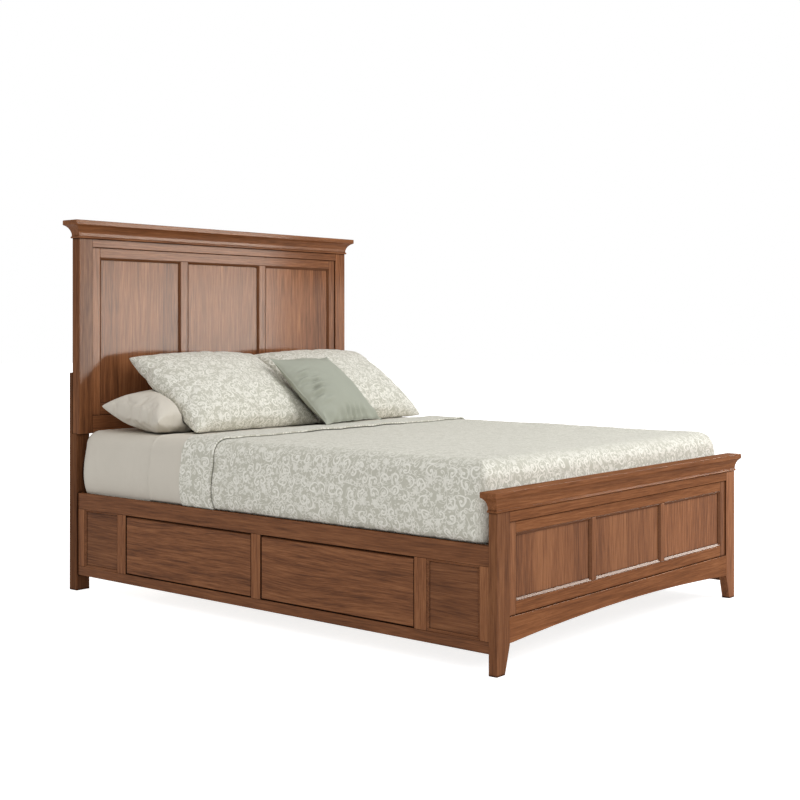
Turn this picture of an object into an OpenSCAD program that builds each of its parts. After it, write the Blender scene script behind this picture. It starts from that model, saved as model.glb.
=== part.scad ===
// Storage platform bed: a panelled headboard and footboard, panelled side rails
// that hold four drawers, a slatted deck, and a mattress made up with bedding.
// +X runs across the bed, +Y points to the headboard and +Z is up.
// The origin is the middle of the bed's outline, on the floor.

/* [Bed] */
// Width over the footboard posts
bed_w = 1620; // [1560:10:2000]
// Length of the side rails, from footboard post to headboard leg
rail_len = 2088; // [2040:2:2200]
// Chamfer along the edges of posts, legs and rails
edge_ease = 1.5; // [0.5:0.5:3]
// Distance that a rail's face lies behind the face of its posts
rail_step = 1; // [0.5:0.5:3]

/* [Footboard] */
// Height of the footboard
fb_h = 571; // [520:1:640]
// Width of a footboard post
fb_post_w = 71; // [66:1:90]
// Depth of a footboard post
fb_depth = 32; // [30:1:45]
// Width of a post at the floor, after its inner face has tapered
fb_foot_w = 44; // [36:1:60]
// Height of the crown moulding
fb_crown_h = 65; // [55:1:80]
// How far the crown stands out past the posts at each side
fb_crown_side = 28.5; // [20:0.5:40]
// How far the crown stands out in front
fb_crown_front = 16; // [12:0.5:30]
// How far the crown stands out behind
fb_crown_back = 13; // [8:0.5:20]
// Height of the rail under the crown
fb_rail_h = 35; // [28:1:50]
// Height of the apron's lower edge beside the posts
fb_apron_z = 93; // [75:1:110]
// Height of the apron beside the posts
fb_apron_h = 82; // [60:1:95]
// Rise of the apron's arch at the middle
fb_arch_rise = 25; // [15:1:35]
// Width of the inner frame's stiles
fb_stile_w = 40; // [30:1:60]
// Height of the inner frame's top rail
fb_inner_top_h = 39; // [30:1:55]
// Height of the inner frame's bottom rail
fb_inner_bottom_h = 43; // [30:1:55]
// Width of the two mullions between the panels
fb_mullion_w = 27; // [24:1:50]

/* [Headboard] */
// Height of the headboard
hb_h = 1517; // [1350:1:1600]
// How far a headboard post stands in from the footboard post's outer face
hb_inset = 5; // [0:1:9]
// Width of a headboard post
hb_post_w = 68; // [60:1:90]
// Depth of a headboard post
hb_depth = 46; // [42:1:60]
// Height of the lower ends of the headboard posts
hb_post_z = 641; // [560:1:720]
// Height of the crown moulding
hb_crown_h = 73; // [65:1:90]
// How far the crown stands out past the posts at each side
hb_crown_side = 35; // [28:0.5:45]
// How far the crown stands out in front
hb_crown_front = 29.5; // [20:0.5:40]
// How far the crown stands out behind
hb_crown_back = 18; // [18:0.5:30]
// Height of the rail under the crown
hb_rail_h = 35; // [25:1:50]
// Height of the bottom rail
hb_bottom_rail_h = 72; // [55:1:90]
// Width of the inner frame's stiles
hb_stile_w = 42; // [30:1:60]
// Height of the inner frame's rails
hb_inner_rail_h = 42; // [30:1:60]
// Width of the two mullions between the panels
hb_mullion_w = 41; // [26:1:50]
// Distance that the posts stand in front of the legs' front faces
hb_lead = 15; // [8:1:18]
// Width of a headboard leg
hb_leg_w = 65; // [50:1:66]
// Depth of a headboard leg
hb_leg_d = 48; // [46:0.5:60]
// Height of a headboard leg
hb_leg_h = 892; // [800:1:1000]
// How far a leg stands out past the side of its post
hb_leg_proud = 2; // [0:0.5:4]

/* [Panels] */
// Distance from the outer frame's face back to the inner frame's face
frame_recess = 6; // [4:0.5:9]
// Thickness of the inner frames
frame_t = 19; // [18:0.5:22]
// Distance from the inner frame's face back to the panel's face
panel_recess = 8; // [6:0.5:9]
// Thickness of a panel
panel_t = 6; // [5:0.5:8]
// Width of panel edge held in the frame's rebate
panel_lap = 8; // [5:0.5:10]
// Clearance around a panel in its rebate
panel_gap = 0.3; // [0.2:0.1:0.5]
// Width of the moulding around a panel
moulding_w = 9; // [7:0.5:11]
// Distance from a frame's face down to its moulding
moulding_step = 1; // [0.5:0.5:2]

/* [Side rails] */
// Distance from a footboard post's outer face in to the side rail's face
rail_inset = 10; // [8:1:14]
// Thickness of the side rails
rail_t = 20; // [19:1:26]
// Height of the side rails' underside
rail_z = 64; // [50:1:80]
// Height of a side rail from its underside to its top
rail_h = 336; // [320:1:360]
// Height of the long board along the top
rail_top_h = 65; // [55:1:80]
// Height of the long board along the bottom
rail_bottom_h = 38; // [30:1:50]
// Width of the stiles at the two ends
end_stile_w = 42; // [36:1:60]
// Length of the fixed panel fields at the two ends
end_field = 213; // [150:1:260]
// Width of the stiles between end panels and drawers
mid_stile_w = 51; // [40:1:70]
// Width of the stile between the drawers
centre_stile_w = 47; // [40:1:70]

/* [Drawers] */
// Gap around a drawer front
drawer_gap = 2.5; // [1.5:0.5:4]
// Distance that a drawer front lies behind the rail's face
drawer_recess = 3; // [1:0.5:6]
// Clearance between a closed drawer's front and the cleat behind it
drawer_back_gap = 1; // [0.5:0.5:2]
// Height of the bevel that makes the finger grip along the top
grip_h = 9; // [6:1:12]
// Depth of that bevel at the top edge
grip_d = 7; // [5:1:10]
// Chamfer along a drawer front's other edges
drawer_ease = 3; // [1:0.5:5]
// Length of a drawer box from front to back
drawer_depth = 560; // [520:5:600]
// Height of a drawer box
drawer_box_h = 176; // [150:1:180]
// Clearance under a drawer box, over the bottom board
drawer_lift = 8; // [5:1:12]
// Thickness of the box's sides, front and back
drawer_wall = 12; // [10:1:15]
// Thickness of the box's bottom
drawer_bottom_t = 6; // [4:1:9]
// Length of a drawer slide
slide_len = 500; // [450:10:515]
// Height of a drawer slide
slide_h = 45; // [35:1:50]
// Thickness of a drawer slide, between case and box
slide_d = 12.5; // [10:0.5:14]
// Wall of the slide's channel
slide_wall = 1.5; // [1:0.1:2]
// Running clearance between a slide's two members
slide_gap = 0.4; // [0.3:0.1:0.6]
// Height of a slide's middle over the underside of the box
slide_rise = 85; // [60:1:100]

/* [Deck] */
// Distance from the rails' top down to the slats' top
slat_drop = 40; // [30:1:60]
// Thickness of a slat
slat_t = 18; // [15:1:22]
// Width of a slat
slat_w = 75; // [60:1:100]
// Number of slats
slat_count = 12; // [8:1:14]
// Distance from the first and last slat to the rails' ends
slat_end = 45; // [40:1:80]
// Clearance between a slat's end and the rail
slat_gap = 2; // [1:0.5:4]
// Width of the cleats that carry the slats
cleat_w = 20; // [15:1:28]
// Height of the cleats
cleat_h = 28; // [20:1:30]
// Width of the middle beam
beam_w = 60; // [45:1:90]
// Height of the middle beam
beam_h = 40; // [30:1:60]
// Distance from the middle beam's ends to the rails' ends
beam_end = 60; // [30:1:100]
// Distance from the middle beam's end feet to the rails' ends
beam_foot_end = 350; // [330:5:450]
// Thickness of the drawer cases' boards
case_t = 18; // [15:1:20]
// Free depth in a drawer case behind the drawer
case_room = 30; // [15:1:60]
// Width of the square support feet
support_w = 45; // [35:1:55]
// Length of a bracket's plates
bracket_w = 32; // [24:1:34]
// Height of the brackets that join rails to posts
bracket_h = 110; // [80:5:150]
// Thickness of a bracket's plates
bracket_t = 3; // [2:0.5:4]
// Diameter of the bolts' heads
bolt_head_d = 13; // [10:1:16]
// Height of the bolts' heads
bolt_head_h = 4; // [3:0.5:5]

/* [Bedding] */
// Height of the mattress
mattress_h = 290; // [240:1:330]
// Gap between the mattress and a side rail
mattress_side_gap = 4; // [2:1:20]
// Gap between the mattress and the headboard legs
mattress_head_gap = 4; // [2:1:20]
// Gap between the mattress and the footboard
mattress_foot_gap = 42; // [36:1:90]
// How far the mattress's sides swell at mid-height
mattress_bulge = 14; // [6:1:16]
// Radius of the mattress's upper edge
mattress_round = 58; // [30:1:80]
// Radius of the mattress's upright corners
mattress_corner = 22; // [18:1:80]
// Gap kept between one layer of bedding and the next
layer_gap = 0.3; // [0.2:0.1:0.5]
// Thickness of the turned-over top sheet
sheet_t = 1.5; // [1:0.5:3]
// Length of top sheet that shows above the duvet
sheet_show = 190; // [100:5:300]
// Thickness of the duvet
duvet_t = 9; // [6:1:20]
// Distance from the headboard legs to the duvet's folded edge
duvet_fold = 628; // [560:2:900]
// Length of duvet turned back on itself
duvet_flap = 182; // [120:2:300]

/* [Pillows] */
// Width of a plain pillow
pillow_w = 700; // [600:5:740]
// Depth of a plain pillow
pillow_d = 360; // [340:5:480]
// Thickness of a plain pillow
pillow_t = 180; // [110:1:200]
// Distance of a plain pillow's middle from the bed's middle
pillow_x = 392; // [380:1:440]
// Distance from a plain pillow's middle to the headboard's front
pillow_back = 240; // [230:5:300]
// Height of a plain pillow's middle over the mattress
pillow_lift = 76; // [40:1:85]
// Tilt of a plain pillow up towards the headboard
pillow_tilt = 8; // [0:1:12]
// Width of a sham
sham_w = 703; // [600:1:710]
// Height of a sham
sham_d = 505; // [450:5:560]
// Thickness of a sham
sham_t = 208; // [110:1:220]
// Distance from the bed's middle to the place where the shams meet
sham_meet = 100; // [0:1:110]
// Distance from a sham's lower edge to the headboard's front
sham_run = 487; // [470:1:560]
// Lean of a sham back from the flat
sham_lean = 33.5; // [28:0.5:40]
// Depth of a sham's back behind its seam, pressed flat by the plain pillow
sham_back = 40; // [30:1:60]
// Width and height of the accent cushion
accent_w = 425; // [380:5:460]
// Thickness of the accent cushion
accent_t = 120; // [80:1:140]
// Distance of the accent cushion from the bed's middle
accent_x = 185; // [100:5:200]
// Distance from the accent cushion's lower edge to the headboard's front
accent_run = 632; // [620:2:720]
// Lean of the accent cushion back from the flat
accent_lean = 42; // [34:1:50]
// Turn of the accent cushion about the upright
accent_turn = 6.5; // [0:0.5:15]
// Slope of the accent cushion's back, where the right sham presses it flat
accent_tip = 0.2; // [0.1:0.02:0.3]
// Depth that pillows and cushions are pressed flat where they rest
press = 4; // [2:0.5:8]

/* [Hidden] */
$fn = 32;
far = 4000;

// Colours
cherry = [0.50, 0.29, 0.19];
cherry_dark = [0.42, 0.24, 0.16];
birch = [0.80, 0.70, 0.54];
steel = [0.70, 0.71, 0.73];
greige = [0.76, 0.74, 0.70];
sage_print = [0.80, 0.81, 0.77];
sage = [0.66, 0.69, 0.63];

// Places along the bed: footboard front, rail ends, leg front, headboard front
leg_back = max(hb_leg_d + bolt_head_h, hb_depth - hb_lead + hb_crown_back);
total_len = fb_crown_front + fb_depth + rail_len + leg_back;
fb_y = fb_crown_front - total_len / 2;
foot_y = fb_y + fb_depth;
head_y = foot_y + rail_len;
hb_y = head_y - hb_lead;

// Half widths of the footboard, the headboard and the side rails
fb_half = bed_w / 2;
hb_half = fb_half - hb_inset;
leg_half = hb_half + hb_leg_proud;
rail_half = fb_half - rail_inset;
bay_half = rail_half - rail_t;

// Footboard heights
fb_post_top = fb_h - fb_crown_h;
fb_rail_z = fb_post_top - fb_rail_h;
fb_frame_z = fb_apron_z + fb_apron_h;
fb_inner_half = fb_half - fb_post_w;

// Headboard heights
hb_post_top = hb_h - hb_crown_h;
hb_rail_z = hb_post_top - hb_rail_h;
hb_frame_z = hb_post_z + hb_bottom_rail_h;
hb_inner_half = hb_half - hb_post_w;

// Side rail heights and the ends of its fields, measured from the foot end
rail_top = rail_z + rail_h;
field_z = rail_z + rail_bottom_h;
field_top = rail_top - rail_top_h;
drawer_field = (rail_len - centre_stile_w) / 2 - end_stile_w - end_field - mid_stile_w;
end_y = end_stile_w;
end_far_y = end_y + end_field;
bay_y = end_far_y + mid_stile_w;
bay_far_y = bay_y + drawer_field;

// Inner frames: half width, bottom, top, stile, top rail, bottom rail, mullion
FOOT = [fb_inner_half, fb_frame_z, fb_rail_z, fb_stile_w, fb_inner_top_h,
        fb_inner_bottom_h, fb_mullion_w];
HEAD = [hb_inner_half, hb_frame_z, hb_rail_z, hb_stile_w, hb_inner_rail_h,
        hb_inner_rail_h, hb_mullion_w];
function pane_w(f) = (2 * (f[0] - f[3]) - 2 * f[6]) / 3;
function pane_x(f, i) = -f[0] + f[3] + i * (pane_w(f) + f[6]);
function pane_z(f) = f[1] + f[5];
function pane_h(f) = f[2] - f[4] - pane_z(f);

// Box between two corners
module block(a, b) translate(a) cube(b - a);

// The same piece on both sides of the bed
module both_sides() {
  children();
  mirror([1, 0, 0]) children();
}

// Rectangle with its corners cut off
module eased_rect(a, b, e) {
  polygon([[a[0] + e, a[1]], [b[0] - e, a[1]], [b[0], a[1] + e], [b[0], b[1] - e],
           [b[0] - e, b[1]], [a[0] + e, b[1]], [a[0], b[1] - e], [a[0], a[1] + e]]);
}

// Board with its four long edges eased, running along X, Y or Z
module board_x(a, b, e = edge_ease) {
  translate([a[0], 0, 0]) rotate([90, 0, 90])
    linear_extrude(b[0] - a[0]) eased_rect([a[1], a[2]], [b[1], b[2]], e);
}
module board_y(a, b, e = edge_ease) {
  translate([0, b[1], 0]) rotate([90, 0, 0])
    linear_extrude(b[1] - a[1]) eased_rect([a[0], a[2]], [b[0], b[2]], e);
}
module board_z(a, b, e = edge_ease) {
  translate([0, 0, a[2]]) linear_extrude(b[2] - a[2]) eased_rect([a[0], a[1]], [b[0], b[1]], e);
}

// Crown moulding

fascia_share = 0.25;
bead_share = 0.12;
cove_in = 0.07;
cove_out = 0.79;
cove_turn = 68;
crown_steps = 9;
crown_step = 3;
crown_ease = 2;

// Outline of the crown from its base up: [share of overhang, height].
// A bead at the base, a cove that leans out, a small step and a fascia.
function crown_outline(h) =
  let(bead = h * bead_share, fascia = h * (1 - fascia_share), top = fascia - crown_step)
  concat(
    [[0.17, 0], [0.20, 0.3 * bead], [0.17, 0.8 * bead], [cove_in, bead]],
    [for (i = [0 : crown_steps])
      let(a = cove_turn * i / crown_steps, run = (1 - cos(a)) / (1 - cos(cove_turn)),
          rise = sin(a) / sin(cove_turn))
      [cove_in + cove_out * run, bead + 1 + (top - bead - 1) * rise]],
    [[0.94, fascia - crown_ease], [1, fascia], [1, h - crown_ease], [0.94, h]]
  );

// The crown's cross-section is a rectangle at every height, so it is the common
// part of one bar along X and one bar along Y, with true mitres at the corners.
module crown(half, y, depth, base, h, side, front, back) {
  line = crown_outline(h);
  n = len(line) - 1;
  intersection() {
    translate([0, y + depth + back + 1, 0]) rotate([90, 0, 0])
      linear_extrude(depth + front + back + 2)
        polygon(concat([for (p = line) [half + side * p[0], base + p[1]]],
                       [for (i = [n : -1 : 0]) [-half - side * line[i][0], base + line[i][1]]]));
    translate([-half - side - 1, 0, 0]) rotate([90, 0, 90])
      linear_extrude(2 * (half + side + 1))
        polygon(concat([for (p = line) [y - front * p[0], base + p[1]]],
                       [for (i = [n : -1 : 0]) [y + depth + back * line[i][0], base + line[i][1]]]));
  }
}

// Framed panels

// Space in the back of an inner frame that takes the edge of panel i
module pane_pocket(f, y, i) {
  grow = panel_lap + panel_gap;
  block([pane_x(f, i) - grow, y + frame_recess + panel_recess, pane_z(f) - grow],
        [pane_x(f, i) + pane_w(f) + grow, y + frame_recess + frame_t + 1,
         pane_z(f) + pane_h(f) + grow]);
}
module pane_pockets(f, y) for (i = [0 : 2]) pane_pocket(f, y, i);

module inner_stiles(f, y) {
  front = y + frame_recess;
  difference() {
    union() {
      both_sides() board_z([f[0] - f[3], front, f[1]], [f[0], front + frame_t, f[2]]);
      for (i = [1 : 2])
        board_z([pane_x(f, i) - f[6], front, pane_z(f)],
                [pane_x(f, i), front + frame_t, pane_z(f) + pane_h(f)]);
    }
    pane_pockets(f, y);
  }
}

module inner_rails(f, y) {
  front = y + frame_recess;
  half = f[0] - f[3];
  difference() {
    union() {
      board_x([-half, front, f[1]], [half, front + frame_t, pane_z(f)]);
      board_x([-half, front, pane_z(f) + pane_h(f)], [half, front + frame_t, f[2]]);
    }
    pane_pockets(f, y);
  }
}

module pane(f, y, i) {
  front = y + frame_recess + panel_recess;
  block([pane_x(f, i) - panel_lap, front, pane_z(f) - panel_lap],
        [pane_x(f, i) + pane_w(f) + panel_lap, front + panel_t,
         pane_z(f) + pane_h(f) + panel_lap]);
}

// Stick of ogee moulding along X with mitred ends. Its back is at y = 0 and
// its outer edge at z = 0.
module moulding_stick(l, w, h) {
  intersection() {
    rotate([90, 0, 90]) linear_extrude(l)
      polygon([[0, 0], [-h, 0], [-h, 0.12 * w], [-0.86 * h, 0.34 * w], [-0.52 * h, 0.62 * w],
               [-0.30 * h, 0.86 * w], [-0.24 * h, w], [0, w]]);
    rotate([90, 0, 0]) linear_extrude(h + 1)
      polygon([[0, 0], [l, 0], [l - w, w], [w, w]]);
  }
}

// Four mitred sticks inside an opening of size l by t, facing -Y
module moulding_frame(l, t, w, h) {
  moulding_stick(l, w, h);
  translate([0, 0, t]) mirror([0, 0, 1]) moulding_stick(l, w, h);
  mirror([1, 0, -1]) moulding_stick(t, w, h);
  translate([l, 0, 0]) mirror([1, 0, 0]) mirror([1, 0, -1]) moulding_stick(t, w, h);
}

module pane_mouldings(f, y)
  for (i = [0 : 2])
    translate([pane_x(f, i), y + frame_recess + panel_recess, pane_z(f)])
      moulding_frame(pane_w(f), pane_h(f), moulding_w, panel_recess - moulding_step);

// Headboard

module headboard_crown() color(cherry)
  crown(hb_half, hb_y, hb_depth, hb_post_top, hb_crown_h,
        hb_crown_side, hb_crown_front, hb_crown_back);

module headboard_post_right() color(cherry)
  board_z([hb_inner_half, hb_y, hb_post_z], [hb_half, hb_y + hb_depth, hb_post_top]);

module headboard_post_left() mirror([1, 0, 0]) headboard_post_right();

module headboard_top_rail() color(cherry)
  board_x([-hb_inner_half, hb_y + rail_step, hb_rail_z],
          [hb_inner_half, hb_y + hb_depth - rail_step, hb_post_top]);

module headboard_bottom_rail() color(cherry)
  board_x([-hb_inner_half, hb_y + rail_step, hb_post_z],
          [hb_inner_half, hb_y + hb_depth - rail_step, hb_frame_z]);

module headboard_inner_rails() color(cherry) inner_rails(HEAD, hb_y);
module headboard_inner_stiles() color(cherry) inner_stiles(HEAD, hb_y);
module headboard_panel_left() color(cherry_dark) pane(HEAD, hb_y, 0);
module headboard_panel_centre() color(cherry_dark) pane(HEAD, hb_y, 1);
module headboard_panel_right() color(cherry_dark) pane(HEAD, hb_y, 2);
module headboard_panel_mouldings() color(cherry) pane_mouldings(HEAD, hb_y);

// The leg is full below the post, whose end stands on its shoulder, and only
// a tongue of it goes up behind the post.
module headboard_leg_right() color(cherry)
  difference() {
    board_z([leg_half - hb_leg_w, head_y, 0], [leg_half, head_y + hb_leg_d, hb_leg_h]);
    block([leg_half - hb_leg_w - 1, head_y - 1, hb_post_z],
          [leg_half + 1, hb_y + hb_depth, hb_leg_h + 1]);
  }

module headboard_leg_left() mirror([1, 0, 0]) headboard_leg_right();

// Footboard

module footboard_crown() color(cherry)
  crown(fb_half, fb_y, fb_depth, fb_post_top, fb_crown_h,
        fb_crown_side, fb_crown_front, fb_crown_back);

// The outer face is upright and the inner face tapers below the apron
module footboard_post_right() color(cherry)
  intersection() {
    board_z([fb_inner_half, fb_y, 0], [fb_half, foot_y, fb_post_top]);
    translate([0, foot_y + 1, 0]) rotate([90, 0, 0]) linear_extrude(fb_depth + 2)
      polygon([[fb_half - fb_foot_w, 0], [fb_half + 1, 0], [fb_half + 1, fb_post_top],
               [fb_inner_half, fb_post_top], [fb_inner_half, fb_apron_z]]);
  }

module footboard_post_left() mirror([1, 0, 0]) footboard_post_right();

module footboard_top_rail() color(cherry)
  board_x([-fb_inner_half, fb_y + rail_step, fb_rail_z],
          [fb_inner_half, foot_y - rail_step, fb_post_top]);

// The arch is one arc through the apron's lower corners
arch_r = (fb_inner_half * fb_inner_half + fb_arch_rise * fb_arch_rise) / (2 * fb_arch_rise);
module footboard_apron() color(cherry)
  difference() {
    board_x([-fb_inner_half, fb_y + rail_step, fb_apron_z],
            [fb_inner_half, foot_y - rail_step, fb_frame_z]);
    translate([0, foot_y, fb_apron_z + fb_arch_rise - arch_r]) rotate([90, 0, 0])
      cylinder(h = fb_depth, r = arch_r, $fn = 720);
  }

module footboard_inner_rails() color(cherry) inner_rails(FOOT, fb_y);
module footboard_inner_stiles() color(cherry) inner_stiles(FOOT, fb_y);
module footboard_panel_left() color(cherry_dark) pane(FOOT, fb_y, 0);
module footboard_panel_centre() color(cherry_dark) pane(FOOT, fb_y, 1);
module footboard_panel_right() color(cherry_dark) pane(FOOT, fb_y, 2);
module footboard_panel_mouldings() color(cherry) pane_mouldings(FOOT, fb_y);

// Side rails, drawn for the right side

side_panel_x = rail_half - panel_recess;
end_fields = [end_y, rail_len - end_far_y];

// Rebates in the back of the side rail that take the end panels
module end_pockets()
  for (y = end_fields) {
    grow = panel_lap + panel_gap;
    block([bay_half - 1, foot_y + y - grow, field_z - grow],
          [side_panel_x, foot_y + y + end_field + grow, field_top + grow]);
  }

module side_top_rail_right() color(cherry)
  difference() {
    board_y([bay_half, foot_y, field_top], [rail_half, head_y, rail_top]);
    end_pockets();
  }

module side_bottom_rail_right() color(cherry)
  difference() {
    board_y([bay_half, foot_y, rail_z], [rail_half, head_y, field_z]);
    end_pockets();
  }

// Starts and widths of the five stiles
stile_list = [
  [0, end_stile_w],
  [end_far_y, mid_stile_w],
  [bay_far_y, centre_stile_w],
  [rail_len - end_far_y - mid_stile_w, mid_stile_w],
  [rail_len - end_stile_w, end_stile_w]
];
module side_stiles_right() color(cherry)
  difference() {
    for (s = stile_list)
      board_z([bay_half, foot_y + s[0], field_z],
              [rail_half, foot_y + s[0] + s[1], field_top]);
    end_pockets();
  }

module side_top_rail_left() mirror([1, 0, 0]) side_top_rail_right();
module side_bottom_rail_left() mirror([1, 0, 0]) side_bottom_rail_right();
module side_stiles_left() mirror([1, 0, 0]) side_stiles_right();

module side_end_panels() color(cherry_dark)
  both_sides()
    for (y = end_fields)
      block([side_panel_x - panel_t, foot_y + y - panel_lap, field_z - panel_lap],
            [side_panel_x, foot_y + y + end_field + panel_lap, field_top + panel_lap]);

module side_panel_mouldings() color(cherry)
  both_sides()
    for (y = end_fields)
      translate([side_panel_x, foot_y + y, field_z]) rotate([0, 0, 90])
        moulding_frame(end_field, field_top - field_z, moulding_w, panel_recess - moulding_step);

// Drawers, drawn for the right side with the bay's foot end at y = 0

front_x = rail_half - drawer_recess;
box_x = bay_half + drawer_back_gap;
box_back_x = box_x - drawer_depth;
box_z = field_z + drawer_lift;
box_top = box_z + drawer_box_h;
slide_z = box_z + slide_rise;
slide_set = 2;
slide_x = box_x - slide_set;

// Puts a drawer of the right side in its bay: 0 at the foot, 1 at the head
module in_bay(i) translate([0, foot_y + bay_y + i * (drawer_field + centre_stile_w), 0]) children();

// Slab with a wide bevel along the top as a grip, and its other edges eased
module drawer_front(i) color(cherry)
  in_bay(i)
    intersection() {
      translate([0, drawer_field - drawer_gap, 0]) rotate([90, 0, 0])
        linear_extrude(drawer_field - 2 * drawer_gap)
          polygon([[box_x, field_z + drawer_gap], [front_x - drawer_ease, field_z + drawer_gap],
                   [front_x, field_z + drawer_gap + drawer_ease],
                   [front_x, field_top - drawer_gap - grip_h],
                   [front_x - grip_d, field_top - drawer_gap],
                   [box_x, field_top - drawer_gap]]);
      translate([0, 0, field_z]) linear_extrude(field_top - field_z)
        polygon([[box_x, drawer_gap], [front_x - drawer_ease, drawer_gap],
                 [front_x, drawer_gap + drawer_ease],
                 [front_x, drawer_field - drawer_gap - drawer_ease],
                 [front_x - drawer_ease, drawer_field - drawer_gap],
                 [box_x, drawer_field - drawer_gap]]);
    }

// Bottom, two sides, front and back boards of the box
module drawer_box(i) color(birch)
  in_bay(i) {
    y0 = slide_d;
    y1 = drawer_field - slide_d;
    wall_z = box_z + drawer_bottom_t;
    block([box_back_x, y0, box_z], [box_x, y1, wall_z]);
    block([box_back_x, y0, wall_z], [box_x, y0 + drawer_wall, box_top]);
    block([box_back_x, y1 - drawer_wall, wall_z], [box_x, y1, box_top]);
    block([box_back_x, y0 + drawer_wall, wall_z],
          [box_back_x + drawer_wall, y1 - drawer_wall, box_top]);
    block([box_x - drawer_wall, y0 + drawer_wall, wall_z],
          [box_x, y1 - drawer_wall, box_top]);
  }

// Bars that run in the case's channels, one on each side of the box
module drawer_slides(i) color(steel)
  in_bay(i)
    for (side = [0, 1])
      translate([0, side * drawer_field, 0]) mirror([0, side, 0])
        block([slide_x - slide_len, slide_wall + slide_gap,
               slide_z - slide_h / 2 + slide_wall + slide_gap],
              [slide_x, slide_d, slide_z + slide_h / 2 - slide_wall - slide_gap]);

channel_lip = 8;

// Channels on the case's boards, open towards the drawer
module case_slides() color(steel)
  both_sides()
    for (i = [0, 1], side = [0, 1])
      in_bay(i)
        translate([0, side * drawer_field, 0]) mirror([0, side, 0]) {
          x0 = slide_x - slide_len;
          z0 = slide_z - slide_h / 2;
          difference() {
            block([x0, 0, z0], [slide_x, channel_lip, z0 + slide_h]);
            block([x0 - 1, slide_wall, z0 + slide_wall],
                  [slide_x + 1, channel_lip + 1, z0 + slide_h - slide_wall]);
          }
        }

module drawer_front_right_foot() drawer_front(0);
module drawer_front_right_head() drawer_front(1);
module drawer_front_left_foot() mirror([1, 0, 0]) drawer_front(0);
module drawer_front_left_head() mirror([1, 0, 0]) drawer_front(1);
module drawer_box_right_foot() drawer_box(0);
module drawer_box_right_head() drawer_box(1);
module drawer_box_left_foot() mirror([1, 0, 0]) drawer_box(0);
module drawer_box_left_head() mirror([1, 0, 0]) drawer_box(1);
module drawer_slides_right_foot() drawer_slides(0);
module drawer_slides_right_head() drawer_slides(1);
module drawer_slides_left_foot() mirror([1, 0, 0]) drawer_slides(0);
module drawer_slides_left_head() mirror([1, 0, 0]) drawer_slides(1);

// Inside the bed

slat_z = rail_top - slat_drop - slat_t;
cleat_z = slat_z - cleat_h;
case_back_x = box_back_x - case_room;
case_foot_y = foot_y + bay_y - case_t;
case_head_y = head_y - bay_y + case_t;

// Two boards for each bay, from the side rail to the back board
module drawer_case_right() color(birch) {
  for (i = [0, 1])
    in_bay(i)
      for (y = [-case_t, drawer_field])
        block([case_back_x, y, rail_z], [bay_half, y + case_t, cleat_z]);
  block([case_back_x - case_t, case_foot_y, rail_z], [case_back_x, case_head_y, slat_z]);
}
module drawer_case_left() mirror([1, 0, 0]) drawer_case_right();

module slat_cleats() color(birch)
  both_sides()
    block([bay_half - cleat_w, foot_y, cleat_z], [bay_half, head_y, slat_z]);

module slats() color(birch) {
  pitch = (rail_len - 2 * slat_end - slat_w) / (slat_count - 1);
  half = bay_half - slat_gap;
  for (i = [0 : slat_count - 1])
    board_x([-half, foot_y + slat_end + i * pitch, slat_z],
            [half, foot_y + slat_end + i * pitch + slat_w, slat_z + slat_t]);
}

module centre_beam() color(birch)
  board_y([-beam_w / 2, foot_y + beam_end, slat_z - beam_h],
          [beam_w / 2, head_y - beam_end, slat_z]);

// Feet under the two back boards and under the middle beam
module support_feet() color(birch) {
  run = case_head_y - case_foot_y - support_w;
  beam_run = rail_len - 2 * beam_foot_end - support_w;
  for (i = [0 : 2]) {
    both_sides()
      block([case_back_x - case_t / 2 - support_w / 2, case_foot_y + i * run / 2, 0],
            [case_back_x - case_t / 2 + support_w / 2,
             case_foot_y + i * run / 2 + support_w, rail_z]);
    block([-support_w / 2, foot_y + beam_foot_end + i * beam_run / 2, 0],
          [support_w / 2, foot_y + beam_foot_end + i * beam_run / 2 + support_w,
           slat_z - beam_h]);
  }
}

// Angle brackets in the four corners, on the rail and on the post or leg
bracket_z = field_z + (cleat_z - field_z - bracket_h) / 2;
module corner_bracket(y, way)
  translate([0, y, 0]) scale_y(way) {
    block([bay_half - bracket_t, 0, bracket_z], [bay_half, bracket_w, bracket_z + bracket_h]);
    block([bay_half - bracket_w, 0, bracket_z],
          [bay_half - bracket_t, bracket_t, bracket_z + bracket_h]);
  }
module scale_y(way) mirror([0, way < 0 ? 1 : 0, 0]) children();

module rail_brackets() color(steel)
  both_sides() {
    corner_bracket(foot_y, 1);
    corner_bracket(head_y, -1);
  }

bolt_rim_h = 0.6 * bolt_head_h;
bracket_bolts = [0.2, 0.8];
leg_bolts = [0.25, 0.75];

// Bevelled bolt head with its base on z = 0
module bolt_head() {
  cylinder(h = bolt_rim_h, d = bolt_head_d);
  translate([0, 0, bolt_rim_h])
    cylinder(h = bolt_head_h - bolt_rim_h, d1 = bolt_head_d, d2 = 0.7 * bolt_head_d);
}

// Bolts through the brackets into rails and posts, and through the legs'
// tongues into the headboard posts
module bolts() color(steel)
  both_sides() {
    for (way = [1, -1], z = bracket_bolts)
      translate([0, way > 0 ? foot_y : head_y, bracket_z + z * bracket_h]) scale_y(way) {
        translate([bay_half - bracket_t, (bracket_w + bracket_t) / 2, 0])
          rotate([0, -90, 0]) bolt_head();
        translate([bay_half - (bracket_w + bracket_t) / 2, bracket_t, 0])
          rotate([-90, 0, 0]) bolt_head();
      }
    for (z = leg_bolts)
      translate([leg_half - hb_leg_w / 2, head_y + hb_leg_d,
                 hb_post_z + z * (hb_leg_h - hb_post_z)])
        rotate([-90, 0, 0]) bolt_head();
  }

// Bedding

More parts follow.
